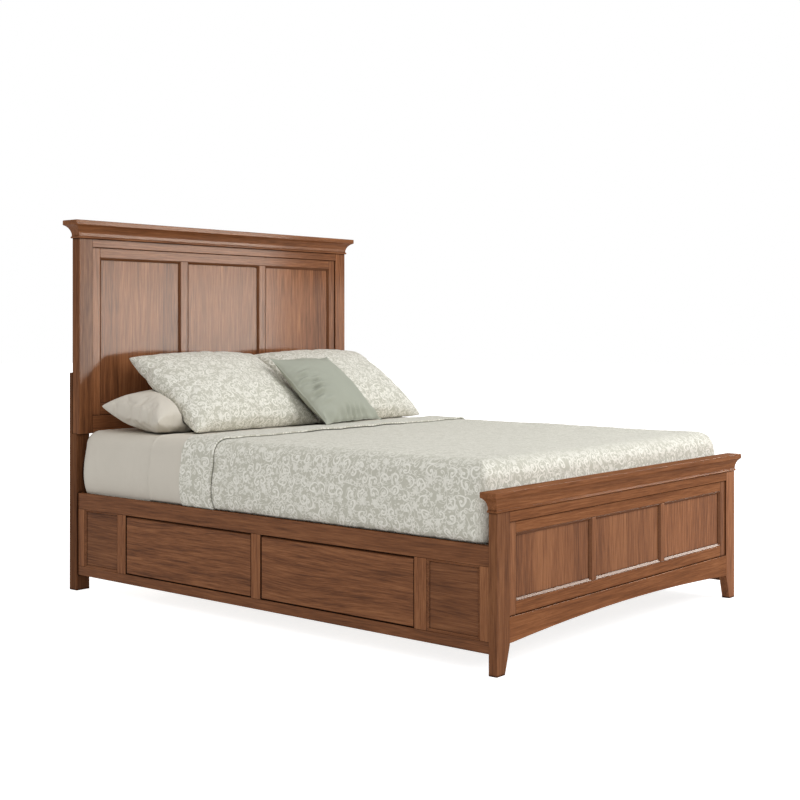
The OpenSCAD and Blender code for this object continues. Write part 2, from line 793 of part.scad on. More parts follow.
mattress_z = slat_z + slat_t;
mattress_half = bay_half - mattress_side_gap;
mattress_y0 = foot_y + mattress_foot_gap;
mattress_y1 = head_y - mattress_head_gap - mattress_bulge;
mattress_top = mattress_z + mattress_h;
corner_steps = 5;
base_round = 14;
swell_skew = 0.85;
swell_fade = 0.25;

// Levels of the mattress from its base up, as [height, growth of the outline],
// with the upper edge grown by off: base arc, side that swells over the rails,
// upper arc
function mattress_levels(off) =
  let(z1 = mattress_z + base_round, z2 = mattress_top - mattress_round)
  concat(
    [for (i = [0 : 3]) let(a = 30 * i)
      [z1 - base_round * cos(a), base_round * (sin(a) - 1)]],
    [for (i = [0 : 6]) let(t = i / 6)
      [rail_top + (z2 - rail_top) * t,
       mattress_bulge * sin(180 * pow(t, swell_skew)) * (1 - swell_fade * t)]],
    [for (i = [1 : 7]) let(a = 90 * i / 7, r = mattress_round + off)
      [z2 + r * sin(a), r * cos(a) - mattress_round - off]]
  );

// Rounded rectangle around the mattress, grown by g, at height z
least_corner = 4;
function mattress_ring(g, z) =
  let(r = max(mattress_corner + g, least_corner), cx = mattress_half + g - r,
      cy = (mattress_y1 - mattress_y0) / 2 + g - r,
      my = (mattress_y1 + mattress_y0) / 2)
  [for (q = [0 : 3], i = [0 : corner_steps])
    let(a = 90 * q + 90 * i / corner_steps,
        sx = q == 0 || q == 3 ? 1 : -1, sy = q < 2 ? 1 : -1)
    [sx * cx + r * cos(a), my + sy * cy + r * sin(a), z]];

// Closed solid of the mattress grown outwards and upwards by off
module mattress_form(off) {
  rings = [for (l = mattress_levels(off)) mattress_ring(l[1] + off, l[0])];
  n = len(rings[0]);
  m = len(rings);
  points = concat([[0, (mattress_y0 + mattress_y1) / 2, mattress_z]],
                  [for (r = rings, p = r) p],
                  [[0, (mattress_y0 + mattress_y1) / 2, mattress_top + off]]);
  last = len(points) - 1;
  faces = concat(
    [for (j = [0 : n - 1]) [0, 1 + j, 1 + (j + 1) % n]],
    [for (i = [0 : m - 2], j = [0 : n - 1])
      let(a = 1 + i * n + j, b = 1 + i * n + (j + 1) % n) each [[a, a + n, b], [b, a + n, b + n]]],
    [for (j = [0 : n - 1]) [last, 1 + (m - 1) * n + (j + 1) % n, 1 + (m - 1) * n + j]]
  );
  polyhedron(points, faces, convexity = 4);
}

module mattress() color(greige) mattress_form(0);

fold_y = head_y - duvet_fold;
cloth_z = rail_top + layer_gap;
flap_t = 1.7 * duvet_t;

// Top sheet turned over the mattress between the duvet and the pillows
module top_sheet() color(greige)
  difference() {
    intersection() {
      mattress_form(layer_gap + sheet_t);
      block([-far, fold_y + layer_gap, cloth_z], [far, fold_y + sheet_show, far]);
    }
    mattress_form(layer_gap);
  }

// Duvet over the top, sides and foot of the mattress, with its head end
// turned back as a second layer
module duvet() color(sage_print)
  difference() {
    union() {
      intersection() {
        mattress_form(layer_gap + duvet_t);
        block([-far, -far, cloth_z], [far, fold_y - duvet_flap, far]);
      }
      intersection() {
        mattress_form(layer_gap + flap_t);
        block([-far, fold_y - duvet_flap, cloth_z], [far, fold_y, far]);
      }
    }
    mattress_form(layer_gap);
  }

// Pillows

pillow_cols = 16;
pillow_rows = 12;
pillow_firm = 0.45;
least_back = 1;

// Cushion lying flat, centred: its sides are drawn in between the corners by the
// share pull, and its thickness falls to a seam all round
function puff_x(w, pull, u, v) = w / 2 * u * (1 - pull * (1 - v * v));
function puff_y(d, pull, u, v) = d / 2 * v * (1 - pull * (1 - u * u));
function puff_z(t, u, v) = t / 2 * pow((1 - u * u) * (1 - v * v), pillow_firm);
function puff(w, d, t, pull, u, v) =
  [puff_x(w, pull, u, v), puff_y(d, pull, u, v), puff_z(t, u, v)];
puff_us = [for (i = [0 : pillow_cols]) sin(-90 + 180 * i / pillow_cols)];
puff_vs = [for (j = [0 : pillow_rows]) sin(-90 + 180 * j / pillow_rows)];

// Its underside is pressed flat back below the seam, on a slope of tip
module pillow_form(w, d, t, pull, back = far, tip = 0) {
  nu = pillow_cols;
  nv = pillow_rows;
  us = puff_us;
  vs = puff_vs;
  inner = (nu + 1) * (nv + 1);
  function rim(i, j) = i == 0 || i == nu || j == 0 || j == nv;
  function up(i, j) = i * (nv + 1) + j;
  function down(i, j) = rim(i, j) ? up(i, j) : inner + (i - 1) * (nv - 1) + j - 1;
  function pressed(p) = [p.x, p.y, -min(p.z, max(back - tip * p.x, least_back))];
  points = concat(
    [for (i = [0 : nu], j = [0 : nv]) puff(w, d, rim(i, j) ? 0 : t, pull, us[i], vs[j])],
    [for (i = [1 : nu - 1], j = [1 : nv - 1]) pressed(puff(w, d, t, pull, us[i], vs[j]))]
  );
  faces = [for (i = [0 : nu - 1], j = [0 : nv - 1]) each [
    [up(i, j + 1), up(i + 1, j + 1), up(i, j)],
    [up(i + 1, j + 1), up(i + 1, j), up(i, j)],
    [down(i + 1, j + 1), down(i, j + 1), down(i, j)],
    [down(i + 1, j), down(i + 1, j + 1), down(i, j)]
  ]];
  polyhedron(points, faces, convexity = 4);
}

// Plain solid of a pillow, flat and centred: octagonal rings stacked up and down
// from its seam, at these shares of its half thickness, and flat at its back
ring_shares = [0.04, 0.36, 0.65, 0.87];
function ring_side(s) = sqrt(1 - pow(s, 1 / pillow_firm));
function ring_corner(s) = sqrt(1 - pow(s, 0.5 / pillow_firm));
function ring(w, d, s, z) =
  let(a = w / 2 * ring_side(s),
      b = d / 2 * ring_side(s),
      c = (w + d) / 2 * (ring_side(s) - ring_corner(s)))
  [[a, c - b, z], [a, b - c, z], [a - c, b, z], [c - a, b, z],
   [-a, b - c, z], [-a, c - b, z], [c - a, -b, z], [a - c, -b, z]];
function plain_points(w, d, t, back) =
  let(last = min(2 * back / t, ring_shares[3]),
      under = concat([last], [for (k = [2 : -1 : 0]) if (ring_shares[k] < last) ring_shares[k]]))
  concat([for (s = under) each ring(w, d, s, -s * t / 2)],
         [for (s = ring_shares) each ring(w, d, s, s * t / 2)]);

module plain_form(w, d, t, back = far) {
  points = plain_points(w, d, t, back);
  top = len(points) - 8;
  polyhedron(points, concat(
    [[for (k = [0 : 7]) k], [for (k = [7 : -1 : 0]) top + k]],
    [for (i = [0 : 8 : top - 8], k = [0 : 7])
      let(next = (k + 1) % 8) [i + k, i + 8 + k, i + 8 + next, i + next]]
  ));
}

// Height of a leaning form's middle over its lowest point
function lean_rise(points, lean) =
  -min([for (p = points) p.y * sin(lean) + p.z * cos(lean)]);

// Cuts a soft piece flat at the height z that it rests on
module rest_on(z)
  intersection() {
    children();
    block([-far, -far, z + layer_gap], [far, far, far]);
  }

accent_pull = 0.07;
sheet_top = mattress_top + layer_gap + sheet_t;
duvet_top = mattress_top + layer_gap + flap_t;

sham_points = plain_points(sham_w, sham_d, sham_t, sham_back);

// Middle of a sham: side -1 is the left one, 1 the right one
function sham_at(side) =
  [sham_meet + side * (sham_w / 2 + layer_gap),
   hb_y - sham_run + sham_d / 2 * cos(sham_lean),
   sheet_top - press + lean_rise(sham_points, sham_lean)];

module sham(side)
  rest_on(sheet_top)
    translate(sham_at(side)) rotate([sham_lean, 0, 0])
      plain_form(sham_w, sham_d, sham_t, sham_back);

module sham_left() color(sage_print) sham(-1);
module sham_right() color(sage_print) sham(1);

// Two plain pillows on the mattress, pressed flat under the shams' backs
module pillows() color(greige)
  difference() {
    rest_on(mattress_top)
      both_sides()
        translate([pillow_x, hb_y - pillow_back, mattress_top + pillow_lift])
          rotate([pillow_tilt, 0, 0]) plain_form(pillow_w, pillow_d, pillow_t);
    translate(sham_at(0)) rotate([sham_lean, 0, 0])
      block([-sham_w - 2 * layer_gap, -far, -sham_back - layer_gap],
            [sham_w + 2 * layer_gap, far, far]);
  }

// The accent cushion leans on the right sham: its back follows the plane that
// touches that sham's front
accent_puff = [for (u = puff_us, v = puff_vs)
  puff(accent_w, accent_w, -accent_t, accent_pull, u, v)];
accent_at = [accent_x, hb_y - accent_run,
             duvet_top - press + lean_rise(accent_puff, accent_lean)];
accent_mid = [0, accent_w / 2 * cos(accent_lean), 0];
function turned_x(a, p) =
  [p.x, p.y * cos(a) - p.z * sin(a), p.y * sin(a) + p.z * cos(a)];
function turned_z(a, p) =
  [p.x * cos(a) - p.y * sin(a), p.x * sin(a) + p.y * cos(a), p.z];
accent_back = -layer_gap - max([for (corner = sham_points)
  let(p = sham_at(1) + turned_x(sham_lean, corner),
      q = turned_x(-accent_lean, turned_z(-accent_turn, p - accent_at) - accent_mid))
  q.z - accent_tip * q.x]);

module accent_cushion() color(sage)
  rest_on(duvet_top)
    translate(accent_at) rotate([0, 0, accent_turn]) translate(accent_mid)
      rotate([accent_lean, 0, 0])
        pillow_form(accent_w, accent_w, accent_t, accent_pull, accent_back, accent_tip);

headboard_crown();
headboard_post_left();
headboard_post_right();
headboard_top_rail();
headboard_bottom_rail();
headboard_inner_rails();
headboard_inner_stiles();
headboard_panel_left();
headboard_panel_centre();
headboard_panel_right();
headboard_panel_mouldings();
headboard_leg_left();
headboard_leg_right();
footboard_crown();
footboard_post_left();
footboard_post_right();
footboard_top_rail();
footboard_apron();
footboard_inner_rails();
footboard_inner_stiles();
footboard_panel_left();
footboard_panel_centre();
footboard_panel_right();
footboard_panel_mouldings();
side_top_rail_left();
side_top_rail_right();
side_bottom_rail_left();
side_bottom_rail_right();
side_stiles_left();
side_stiles_right();
side_end_panels();
side_panel_mouldings();
drawer_front_left_head();
drawer_front_left_foot();
drawer_front_right_head();
drawer_front_right_foot();
drawer_box_left_head();
drawer_box_left_foot();
drawer_box_right_head();
drawer_box_right_foot();
drawer_slides_left_head();
drawer_slides_left_foot();
drawer_slides_right_head();
drawer_slides_right_foot();
case_slides();
drawer_case_left();
drawer_case_right();
slat_cleats();
slats();
centre_beam();
support_feet();
rail_brackets();
bolts();
mattress();
top_sheet();
duvet();
pillows();
sham_left();
sham_right();
accent_cushion();
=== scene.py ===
"""Finishes the storage platform bed: stains its wood, makes up its mattress with sheet, duvet,
pillows and cushion, and sets the studio round it. Every size is in metres, in the bed's own
frame: X across the bed, Y from the footboard to the headboard, Z up."""

import math

import bmesh
import bpy
import numpy as np
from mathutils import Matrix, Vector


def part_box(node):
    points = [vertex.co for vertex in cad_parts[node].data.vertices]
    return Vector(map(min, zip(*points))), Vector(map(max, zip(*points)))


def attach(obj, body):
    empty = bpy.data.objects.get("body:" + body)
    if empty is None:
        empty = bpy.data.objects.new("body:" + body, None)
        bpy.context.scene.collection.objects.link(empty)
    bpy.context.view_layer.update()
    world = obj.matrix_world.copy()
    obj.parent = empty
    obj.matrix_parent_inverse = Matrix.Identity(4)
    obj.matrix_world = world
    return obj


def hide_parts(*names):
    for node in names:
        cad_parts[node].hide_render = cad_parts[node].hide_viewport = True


bl_info = {
    "name": "Storage Platform Bed",
    "version": (1, 0, 0),
    "blender": (4, 5, 0),
    "location": "View3D > Sidebar > Bed",
    "description": "Finishes the wood of a storage platform bed and makes up its mattress",
    "category": "Object",
}

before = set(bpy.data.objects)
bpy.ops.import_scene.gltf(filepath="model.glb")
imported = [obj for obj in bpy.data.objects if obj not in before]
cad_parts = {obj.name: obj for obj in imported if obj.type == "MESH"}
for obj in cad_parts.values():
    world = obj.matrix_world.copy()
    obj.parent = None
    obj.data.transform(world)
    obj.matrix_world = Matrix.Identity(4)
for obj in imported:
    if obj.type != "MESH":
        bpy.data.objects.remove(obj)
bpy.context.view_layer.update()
FRAME_BODY = "bed_frame"
RAIL_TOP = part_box("side_top_rail_left")[1].z
MATTRESS_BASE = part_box("mattress")[0].z
MATTRESS_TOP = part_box("mattress")[1].z
MATTRESS_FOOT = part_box("footboard_post_left")[1].y + 0.042
MATTRESS_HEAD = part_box("headboard_leg_left")[0].y - 0.018
HEADBOARD_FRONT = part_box("headboard_post_left")[0].y
DUVET_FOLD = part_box("duvet")[1].y
SHEET_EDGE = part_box("top_sheet")[1].y
SHEET_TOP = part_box("top_sheet")[1].z
FLAP_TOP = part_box("duvet")[1].z

SAME_PLACE = 0.00002  # points closer than this are joined
THREAD = 0.0011  # pitch of the weave
# Grid of a cover: rows up its side, round its edge and over its top, columns along half of it
SIDE_ROWS, EDGE_ROWS, TOP_ROWS = 26, 14, 44
SIDE_COLUMNS, CORNER_COLUMNS, FOOT_COLUMNS = 150, 12, 60
# Grid of each face of a pillow case, and the room left under its two faces
CASE_ROWS, CASE_COLUMNS = 88, 68
FRONT_GAP, REAR_GAP = 0.0025, 0.0015
SHAM_FORM = {"pull": 0.015, "firm": 0.45}


# Settings


def a_length(name, description, default, low, high):
    """A setting in metres."""
    return bpy.props.FloatProperty(name=name, description=description, subtype="DISTANCE",
                                   unit="LENGTH", default=default, min=low, max=high)


def three_lengths(name, description, default, low=-10.0, high=10.0):
    """Three sizes, or the three parts of a place, in metres."""
    return bpy.props.FloatVectorProperty(name=name, description=description, subtype="XYZ",
                                         unit="LENGTH", default=default, min=low, max=high)


def an_angle(name, description, default, low, high):
    """A setting that is an angle. Its three numbers come in degrees."""
    default, low, high = (math.radians(part) for part in (default, low, high))
    return bpy.props.FloatProperty(name=name, description=description, subtype="ANGLE",
                                   default=default, min=low, max=high)


def a_number(name, description, default, low, high, subtype="NONE"):
    """A setting that is a plain number."""
    return bpy.props.FloatProperty(name=name, description=description, subtype=subtype,
                                   default=default, min=low, max=high)


def a_colour(name, description, *default):
    """A setting that is a colour: red, green and blue."""
    return bpy.props.FloatVectorProperty(name=name, description=description, subtype="COLOR",
                                         default=default, min=0, max=1)


class WoodSettings(bpy.types.PropertyGroup):
    """Colours and gloss of the stained cherry"""

    dark: a_colour("Dark grain", "Colour of the dark streaks", 0.105, 0.040, 0.018)
    middle: a_colour("Stain", "Colour of most of the wood", 0.226, 0.086, 0.035)
    light: a_colour("Light grain", "Colour of the light streaks", 0.356, 0.151, 0.064)
    # Dark glazing and painted shade together: the colour that corners and joints are darkened
    # towards, and its reach, which ambient occlusion finds.
    glaze_and_shade: a_colour("Glaze", "Colour of the dark glaze left in the joints", 0.034, 0.012, 0.006)
    glaze_and_shade_reach: a_length(
        "Glaze reach", "Distance from a corner that the glaze covers", 0.010, 0.001, 0.02)
    lacquer: a_number("Lacquer", "Weight of the lacquer's gloss", 0.16, 0, 1, "FACTOR")
    edge: a_length("Edge", "Width of the sanded edges", 0.0009, 0.0003, 0.003)


class BeddingSettings(bpy.types.PropertyGroup):
    """Sizes and colours of the mattress and its covers"""

    half_width: a_length(
        "Mattress half width", "Half width of the mattress at its edges", 0.776, 0.6, 0.8)
    bulge: a_length("Bulge", "Swell of the mattress's sides", 0.014, 0.0, 0.02)
    edge_round: a_length("Edge", "Radius of the mattress's upper edge", 0.058, 0.03, 0.08)
    corner: a_length("Corner", "Radius of the mattress's upright corners", 0.022, 0.01, 0.08)
    lower_edge: a_length("Lower edge", "Radius of the mattress's lower edge", 0.014, 0.005, 0.04)
    sheet_thickness: a_length(
        "Sheet thickness", "Thickness of the top sheet", 0.0014, 0.0005, 0.003)
    duvet_thickness: a_length(
        "Duvet thickness", "Thickness of one layer of the duvet", 0.0068, 0.003, 0.012)
    flap: a_length("Flap", "Length of duvet turned back on itself", 0.182, 0.1, 0.3)
    plain: a_colour("Plain cloth", "Colour of the sheets and plain pillows", 0.680, 0.634, 0.552)
    ground: a_colour("Print ground", "Colour of the printed cloth's ground", 0.590, 0.578, 0.492)
    scroll: a_colour("Print", "Colour of the scrolls printed on the cloth", 0.930, 0.910, 0.830)
    accent: a_colour("Accent", "Colour of the accent cushion", 0.418, 0.434, 0.363)
    repeat: a_length("Scroll size", "Size of one scroll of the print", 0.047, 0.03, 0.2)


class PillowSettings(bpy.types.PropertyGroup):
    """Sizes and places of the pillows and cushions"""

    plain_size: three_lengths(
        "Plain pillow", "Width, depth and thickness of a plain pillow",
        (0.700, 0.360, 0.196), 0.1, 0.8)
    plain_place: three_lengths(
        "Plain pillow's place", "From the middle line, from the headboard and over the mattress",
        (0.392, 0.240, 0.080), 0, 0.5)
    plain_tilt: an_angle("Tilt", "Tilt of a plain pillow up to the headboard", 8, 0, 30)
    sham_size: three_lengths(
        "Sham", "Width, height and thickness of a sham", (0.703, 0.505, 0.208), 0.1, 0.8)
    sham_back: a_length("Sham's back", "Depth of a sham's back behind its seam", 0.040, 0.02, 0.1)
    sham_meet: a_length(
        "Meeting place", "Distance from the middle line to where they meet", 0.100, 0, 0.2)
    sham_run: a_length("Run", "From the headboard to a sham's lower edge", 0.487, 0.4, 0.6)
    sham_lean: an_angle("Lean", "Lean of a sham back from the flat", 33.5, 20, 50)
    sham_sag: a_length("Sag", "Fall of a sham's lower corners", 0.009, 0, 0.03)
    accent_size: three_lengths(
        "Accent cushion", "Width, height and thickness of the cushion",
        (0.425, 0.425, 0.150), 0.1, 0.8)
    accent_place: three_lengths(
        "Accent cushion's place", "From the middle line and the headboard",
        (0.185, 0.632, 0.0), 0, 0.8)
    accent_back: a_length(
        "Accent's back", "Depth of the cushion's back behind its seam", 0.042, 0.02, 0.1)
    accent_lean: an_angle("Accent lean", "Lean of the cushion back from the flat", 42, 20, 60)
    accent_turn: an_angle("Accent turn", "Turn of the cushion about the upright", 6.5, 0, 25)


class StudioSettings(bpy.types.PropertyGroup):
    """Camera, floor and lights"""

    eye: three_lengths("Eye", "Place of the camera", (-4.1538, -3.4947, 1.0798))
    heading: an_angle(
        "Heading", "Turn of the level camera from the bed's length", -50.006, -180, 180)
    lens: a_number("Lens", "Focal length on a 36 mm film", 60.21, 20, 200)
    drop: a_number(
        "Drop", "Downward shift of the film, as a share of its width", -0.0913, -0.5, 0.5)
    key: a_number("Key light", "Power of the key light in watts", 108, 0, 1000)
    reflection: a_colour(
        "Reflection", "Colour of the cards that the lacquer reflects", 1.0, 0.963, 0.892)
    sky: a_number("Sky", "Strength of the light from all round", 0.80, 0, 10)


def settings(group):
    """The scene's own settings of one group, by the name register() gives it."""
    return getattr(bpy.context.scene, group)


# Shader maths


class Wire:
    """A value in a material: arithmetic on it adds Math nodes."""

    def __init__(self, finish, socket):
        self.finish = finish
        self.socket = socket

    def math(self, operation, *values):
        return self.finish.math(operation, self, *values)

    def __add__(self, other):
        return self.math("ADD", other)

    def __sub__(self, other):
        return self.math("SUBTRACT", other)

    def __mul__(self, other):
        return self.math("MULTIPLY", other)

    def __truediv__(self, other):
        return self.math("DIVIDE", other)

    def __radd__(self, other):
        return self.finish.math("ADD", other, self)

    def __rsub__(self, other):
        return self.finish.math("SUBTRACT", other, self)

    def __rmul__(self, other):
        return self.finish.math("MULTIPLY", other, self)

    def __rtruediv__(self, other):
        return self.finish.math("DIVIDE", other, self)

    def __abs__(self):
        return self.math("ABSOLUTE")

    def power(self, exponent):
        return self.math("POWER", exponent)

    def more(self, limit):
        return self.math("GREATER_THAN", limit)

    def smooth(self, low, high):
        """0 below low, 1 above high and a smooth step between; low may be the higher one."""
        flip = low > high
        ends = {"From Min": min(low, high), "From Max": max(low, high)}
        ends["To Min"], ends["To Max"] = (1.0, 0.0) if flip else (0.0, 1.0)
        return self.finish.node(
            "ShaderNodeMapRange", {"interpolation_type": "SMOOTHSTEP"}, {"Value": self, **ends})


class Finish:
    """The nodes of a new material or of a new world. node() adds any kind of node, math() and
    vector() the arithmetic ones."""

    def __init__(self, name, world=False):
        self.owner = (bpy.data.worlds if world else bpy.data.materials).new(name)
        self.owner.use_nodes = True
        self.tree = self.owner.node_tree

    def node(self, kind, choices=None, values=None, out=0):
        """Adds a node: first its choices, then the values or links of its inputs. A ramp's
        stops are the choice "stops", a list of (place, colour). Gives its output out."""
        made = self.tree.nodes.new(kind)
        for key, value in (choices or {}).items():
            if key == "stops":
                self.set_stops(made.color_ramp.elements, value)
            else:
                setattr(made, key, value)
        for key, value in (values or {}).items():
            self.feed(made.inputs[key], value)
        return Wire(self, made.outputs[out])

    @staticmethod
    def set_stops(elements, stops):
        while len(elements) < len(stops):
            elements.new(1.0)
        for element, (place, colour) in zip(elements, stops):
            element.position = place
            element.color = (*colour, 1.0)

    def feed(self, socket, value):
        if isinstance(value, Wire):
            self.tree.links.new(value.socket, socket)
        elif hasattr(value, "__len__") and len(value) == 3 and len(socket.default_value) == 4:
            socket.default_value = (*value, 1.0)
        else:
            socket.default_value = value

    def math(self, operation, *values):
        return self.node("ShaderNodeMath", {"operation": operation}, dict(enumerate(values)))

    def vector(self, operation, *values):
        return self.node("ShaderNodeVectorMath", {"operation": operation},
                         dict(enumerate(values)))

    def mix(self, share, first, second):
        """Colour that goes from first to second as share goes from 0 to 1."""
        return self.node(
            "ShaderNodeMix", {"data_type": "RGBA"}, {0: share, 6: first, 7: second}, out=2)

    def place(self, source="Object"):
        return self.node("ShaderNodeTexCoord", out=source)

    def nook(self, reach, start, full):
        """0 where the surface is open and 1 in a corner: start and full are the shares of the
        sky, seen within reach, at which the mask begins and is complete."""
        sky = self.node("ShaderNodeAmbientOcclusion", {"samples": 8, "only_local": False},
                        {"Distance": reach}, out="AO")
        return sky.smooth(start, full)

    def watched(self):
        """1 for a ray from the camera, off a glossy surface or through glass, else 0."""
        eye, gloss, glass = (self.node("ShaderNodeLightPath", out=f"Is {kind} Ray")
                             for kind in ("Camera", "Glossy", "Transmission"))
        return eye.math("MAXIMUM", gloss).math("MAXIMUM", glass)

    def parts(self, vector):
        """The three numbers of a vector."""
        return [self.node("ShaderNodeSeparateXYZ", None, {0: vector}, out=i) for i in range(3)]

    def join(self, x, y, z):
        return self.node("ShaderNodeCombineXYZ", None, {0: x, 1: y, 2: z})

    def noise(self, vector, scale, detail=2.0, rough=0.5, out="Fac"):
        return self.node("ShaderNodeTexNoise", None, {
            "Vector": vector, "Scale": scale, "Detail": detail, "Roughness": rough}, out)

    def bump(self, height, strength, distance):
        return self.node("ShaderNodeBump", None, {
            "Height": height, "Strength": strength, "Distance": distance})

    def surface_of(self, **values):
        """Sets the Principled surface's sockets; a name's underscores stand for spaces. Gives
        the material."""
        for key, value in values.items():
            self.set_input("Principled BSDF", key.replace("_", " "), value)
        return self.owner

    def set_input(self, node, socket, value):
        """Sets or links one input of a node that every material or world starts with."""
        self.feed(self.tree.nodes[node].inputs[socket], value)


# Wood


def shade(colour, depth):
    """A stain's colour, times depth."""
    return tuple(part * depth for part in colour)


def along_grain(finish, axis):
    """The place on a board as (across, across, along) for a grain that runs along axis."""
    x, y, z = finish.parts(finish.place())
    return {"x": (y, z, x), "y": (z, x, y), "z": (x, y, z)}[axis]


def streaked(finish, lanes, wide, long, detail, rough=0.5):
    """Noise stretched along the grain: wide and long are its scales across and along."""
    across, deep, along = lanes
    return finish.noise(
        finish.join(across * wide, deep * wide, along * long), 1.0, detail, rough)


def stained_cherry(name, axis, board=0.0, figure=1.0, depth=1.0, gloss=1.0, calm=1.0):
    """Cherry under stain, dark glazing and satin lacquer. Near corners and joints, found by
    ambient occlusion, the colour is darkened as painted shade with the glazing, and the
    lacquer is taken away. The tone is a sum of wide soft bands, of streaks that run far
    along the grain and of fine lines; dark pores lie over it. Each next strip of width
    board is a board of its own tone. figure times how far the grain wanders, depth the
    stain's brightness, which makes painted shade on some boards and painted light on
    others, gloss the lacquer's weight and calm the contrast."""
    wood = settings("bed_wood")
    f = Finish(name)
    across, deep, along = along_grain(f, axis)
    lane, own_tone = across, 0.0
    if board:
        strip = (across * (1.0 / board)).math("FLOOR")
        chance = f.node("ShaderNodeTexWhiteNoise", {"noise_dimensions": "1D"}, {"W": strip + 7.0})
        lane, own_tone = across + chance * 3.1, (chance - 0.5) * 0.16
    wander = streaked(f, (lane, deep, along), 5.0, 1.3, 1.0) - 0.5
    ring = lane + wander * 0.035 * figure
    lanes = ring, deep, along
    bands = streaked(f, lanes, 20.0, 1.2, 2.0)
    streaks = streaked(f, lanes, 95.0, 4.0, 3.0, 0.6)
    lines = streaked(f, lanes, 330.0, 11.0, 2.0, 0.6)
    pores = f.noise(f.join(ring * 1500.0, deep * 900.0, along * 45.0), 1.0, 1.0).smooth(0.62, 0.72)
    tone = (bands * 0.32 + streaks * 0.56 + lines * 0.62 - 0.75) * calm + 0.5 + own_tone
    stain = f.node("ShaderNodeValToRGB", {"stops": [
        (0.28, shade(wood.dark, depth)), (0.50, shade(wood.middle, depth)),
        (0.74, shade(wood.light, depth))]}, {0: tone})
    poured = f.mix(pores * 0.35, stain, shade(wood.dark, depth))
    # Painted shade with dark glazing: within reach of a corner or joint, found by ambient
    # occlusion, the stain is darkened and the lacquer is taken away.
    reach = f.nook(wood.glaze_and_shade_reach, 0.96, 0.60)
    glazed_and_shaded = f.mix(reach * 0.92, poured, wood.glaze_and_shade)
    relief = f.bump(lines * 0.5 - pores, 0.18, 0.0004)
    return f.surface_of(
        Base_Color=glazed_and_shaded, Roughness=0.50 - tone * 0.14 + pores * 0.1,
        Specular_IOR_Level=0.0, Coat_Weight=(1.0 - reach) * (wood.lacquer * gloss),
        Coat_Roughness=0.14, Coat_IOR=1.5, Normal=relief)


def pale_board(name, axis):
    """Clear-sealed birch: pale streaks along the grain over soft bands, almost matt."""
    f = Finish(name)
    lanes = along_grain(f, axis)
    bands = streaked(f, lanes, 16.0, 1.1, 2.0)
    streaks = streaked(f, lanes, 170.0, 5.0, 3.0)
    tone = bands * 0.6 + streaks * 0.4
    colour = f.node("ShaderNodeValToRGB", {"stops": [
        (0.30, (0.50, 0.34, 0.19)), (0.52, (0.62, 0.46, 0.28)), (0.72, (0.71, 0.56, 0.37))]},
        {0: tone})
    return f.surface_of(Base_Color=colour, Roughness=0.62 - streaks * 0.12,
                        Normal=f.bump(streaks, 0.2, 0.0003))


def zinc_plate(name):
    """Zinc-plated steel with faint mottling and fine roller marks, darkened as painted shade in
    narrow gaps.
    """
    f = Finish(name)
    here = f.place()
    mottle = f.noise(here, 60.0, 3.0)
    marks = f.noise(f.vector("MULTIPLY", here, (40.0, 40.0, 900.0)), 1.0, 1.0)
    colour = f.mix(mottle, (0.52, 0.53, 0.55), (0.70, 0.71, 0.72))
    # Painted shade: ambient occlusion darkens the plate almost to black in narrow gaps.
    colour = f.mix(f.nook(0.05, 0.75, 0.30) * 0.9, colour, (0.05, 0.05, 0.05))
    return f.surface_of(Base_Color=colour, Metallic=1.0, Roughness=0.30 + mottle * 0.16,
                        Normal=f.bump(marks, 0.1, 0.0002))


DRAWERS = ("left_head", "left_foot", "right_head", "right_foot")
